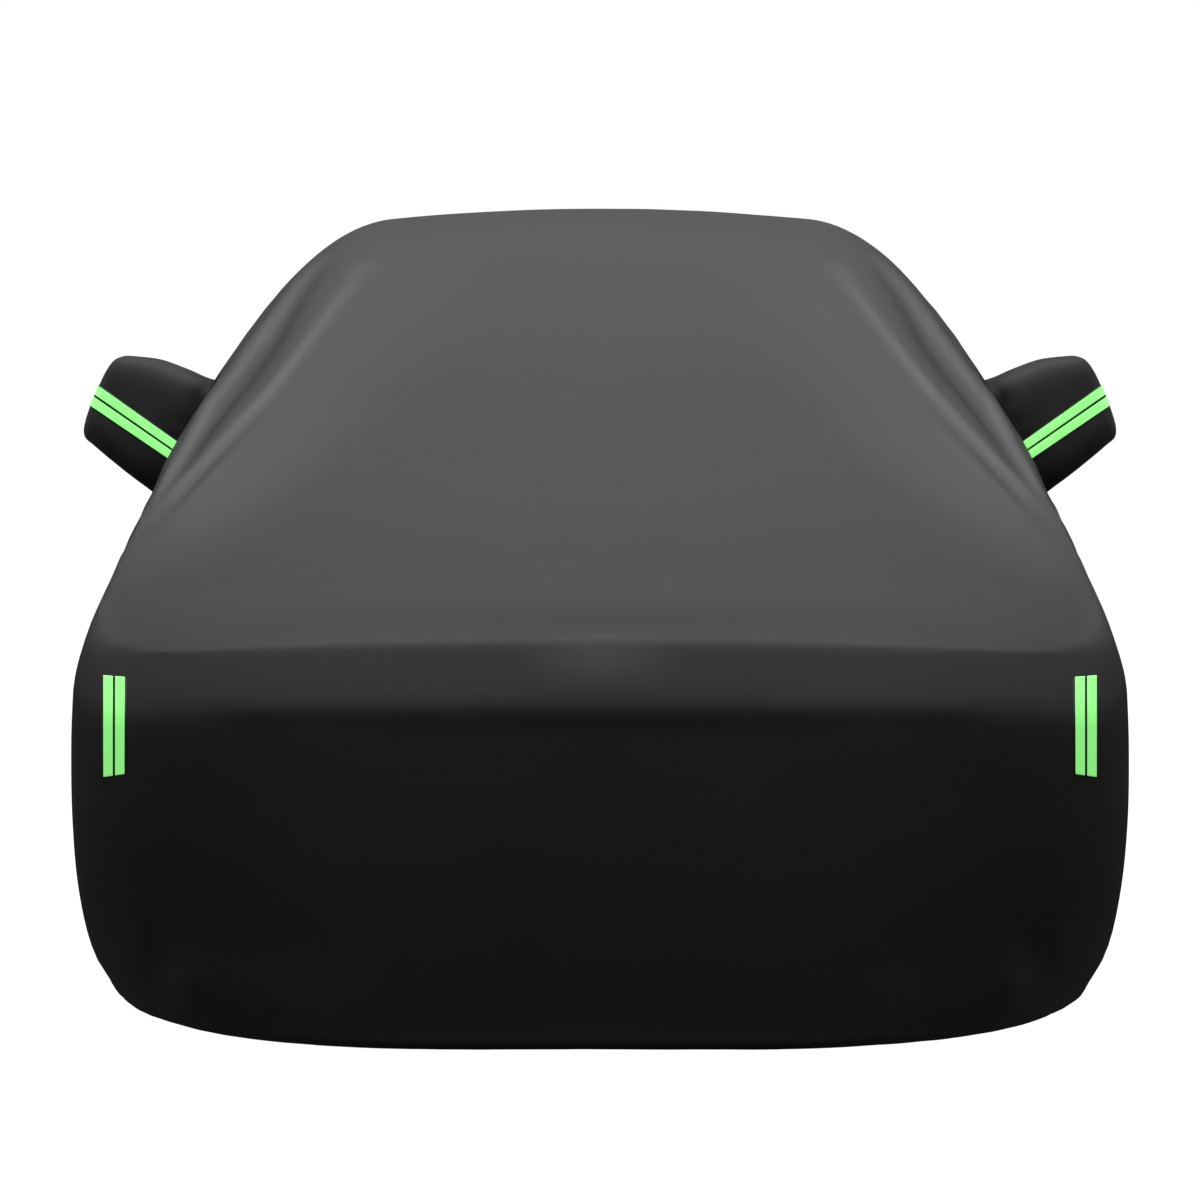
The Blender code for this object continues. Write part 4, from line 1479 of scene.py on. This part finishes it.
bodyPiece = newObject("bodyCloth", meshFrom("bodyCloth", bodyBm), blackCloth)
thicken(bodyPiece, bodyCloth["thick"])
plugs = []
for side, plugBm in (("Left", turnedOver(makePlug())), ("Right", makePlug())):
    plug = newObject("plug" + side, meshFrom("plug" + side, plugBm))
    cutHole(bodyPiece, plug)
    plugs.append(plug)
settle(bodyPiece)
for plug in plugs:
    bpy.data.objects.remove(plug)
print("car cover: body cloth finished,", len(bodyPiece.data.polygons), "faces")

hemPiece = layStitches("hemStitches", [hemPath], True, "hem")
pieces, onBody = [bodyPiece], [hemPiece]
for side in ("Left", "Right"):
    sources = pocketBm.copy(), frontBm.copy(), mirrorBm.copy()
    paths = [pocketPath], frontPaths, mirrorPaths
    if side == "Left":
        sources = [turnedOver(source) for source in sources]
        paths = [[flipped(path) for path in found] for found in paths]
    pocketMesh, frontMesh, mirrorMesh = (
        meshFrom(name + side, source)
        for name, source in zip(("mirrorPocket", "frontStrip", "mirrorStrip"), sources)
    )
    pocketPiece = newObject("mirrorPocket" + side, pocketMesh, blackCloth)
    thicken(pocketPiece, mirrorPocket["thick"])
    settle(pocketPiece)
    frontPiece = newObject("frontStrip" + side, frontMesh, greenTape)
    mirrorPiece = newObject("mirrorStrip" + side, mirrorMesh, greenTape)
    seam = layStitches("pocketStitches" + side, paths[0], True, "pocket")
    onFront = layStitches("frontStripStitches" + side, paths[1], False, "strip")
    onMirror = layStitches("mirrorStripStitches" + side, paths[2], False, "strip")
    onBody += [frontPiece, onFront]
    onPocket = [mirrorPiece, onMirror, seam]
    pieces += [frontPiece, onFront, *onPocket, pocketPiece]
    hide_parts("mirror_pocket_" + side.lower())
    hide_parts("front_strip_" + side.lower())
    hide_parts("mirror_strip_" + side.lower())
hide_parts("body_cloth")
pieces.append(hemPiece)
for piece in pieces:
    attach(piece, "root")
    "green_tape" if piece.active_material == greenTape else "black_cloth"
print("car cover:", len(pieces), "pieces placed")


studio = {
    "lens": 142.9,
    "sensor": 36.0,
    "farthest": 300.0,  # what the camera still sees
    "distance": 7.5,  # from the lens to the nose
    "eye": 1.38,
    "tilt": 4.2,  # degrees downwards
    "floor": 60.0,  # half the floor's side
    "floorTone": (0.14, 0.14, 0.14, 1.0),
    "floorGlow": 1.02,
    "white": (1.0, 1.0, 1.0, 1.0),
    "dim": 0.068,  # light from all round
    "lampHeight": 4.0,
    "lampWidth": 5.0,
    "lamps": (  # back, length along the car, power
        (-0.9, 4.0, 155.0),
        (2.4, 2.8, 178.0),
    ),
    "fills": (  # across, back, width, power of the upright lamps beside and behind the car
        (-5.6, 4.3, 3.0, 58.0),
        (5.6, 4.3, 3.0, 58.0),
        (0.0, 10.2, 4.0, 64.0),
    ),
    "fillHeight": 1.9,
    "fillTall": 1.6,
    "fillTarget": 0.6,  # the height that they point at
    "fillSpread": 90.0,  # degrees, so that the sides' light stays off the nose
}


def makeFloor():
    recipe = Recipe("paleFloor", {
        "Base Color": studio["floorTone"],
        "Roughness": 0.9,
        "Specular IOR Level": 0.0,
        "Emission Color": studio["white"],
        "Emission Strength": studio["floorGlow"],
    })
    bm = bmesh.new()
    half, ground = studio["floor"], place(0.0, 0.0, 0.0).z
    corners = ((-half, -half), (half, -half), (half, half), (-half, half))
    bm.faces.new([bm.verts.new((x, y, ground)) for x, y in corners])
    made = newObject("floor", meshFrom("floor", bm), recipe.material)
    made.visible_diffuse = False
    made.visible_glossy = False
    return made


# white where the camera sees it, and dim where it lights the cover
def makeWorld():
    world = bpy.data.worlds.new("studio")
    world.use_nodes = True
    tree = world.node_tree
    around = tree.nodes["Background"]
    around.inputs["Color"].default_value = studio["white"]
    around.inputs["Strength"].default_value = studio["dim"]
    seen = addNode(tree, "ShaderNodeBackground", None, {"Color": studio["white"]})
    toCamera = addNode(tree, "ShaderNodeLightPath").outputs["Is Camera Ray"]
    both = {0: toCamera, 1: around.outputs[0], 2: seen.outputs[0]}
    either = addNode(tree, "ShaderNodeMixShader", None, both)
    tree.links.new(either.outputs[0], tree.nodes["World Output"].inputs["Surface"])
    return world


def makeLamp(name, size, power, spot):
    lamp = bpy.data.lights.new(name, "AREA")
    lamp.shape = "RECTANGLE"
    lamp.size, lamp.size_y = size
    lamp.energy = power
    made = bpy.data.objects.new(name, lamp)
    made.location = spot
    bpy.context.scene.collection.objects.link(made)
    return made


floorPiece = makeFloor()
bpy.context.scene.world = makeWorld()

for back, length, power in studio["lamps"]:
    spot = place(0.0, back, studio["lampHeight"])
    makeLamp("softLamp", (studio["lampWidth"], length), power, spot)

for across, back, width, power in studio["fills"]:
    spot = place(across, back, studio["fillHeight"])
    fill = makeLamp("fillLamp", (width, studio["fillTall"]), power, spot)
    towards = place(0.0, min(back, car["length"]), studio["fillTarget"]) - spot
    fill.rotation_euler = towards.to_track_quat("-Z", "Y").to_euler()
    fill.data.spread = math.radians(studio["fillSpread"])
    fill.visible_glossy = False

lens = bpy.data.cameras.new("front")
lens.lens = studio["lens"]
lens.sensor_width = studio["sensor"]
lens.clip_end = studio["farthest"]
camera = bpy.data.objects.new("front", lens)
camera.location = place(0.0, -studio["distance"], studio["eye"])
camera.rotation_euler = (math.radians(90 - studio["tilt"]), 0.0, 0.0)
bpy.context.scene.collection.objects.link(camera)
bpy.context.scene.camera = camera
bpy.context.scene.view_settings.view_transform = "Standard"
print("car cover: studio set")
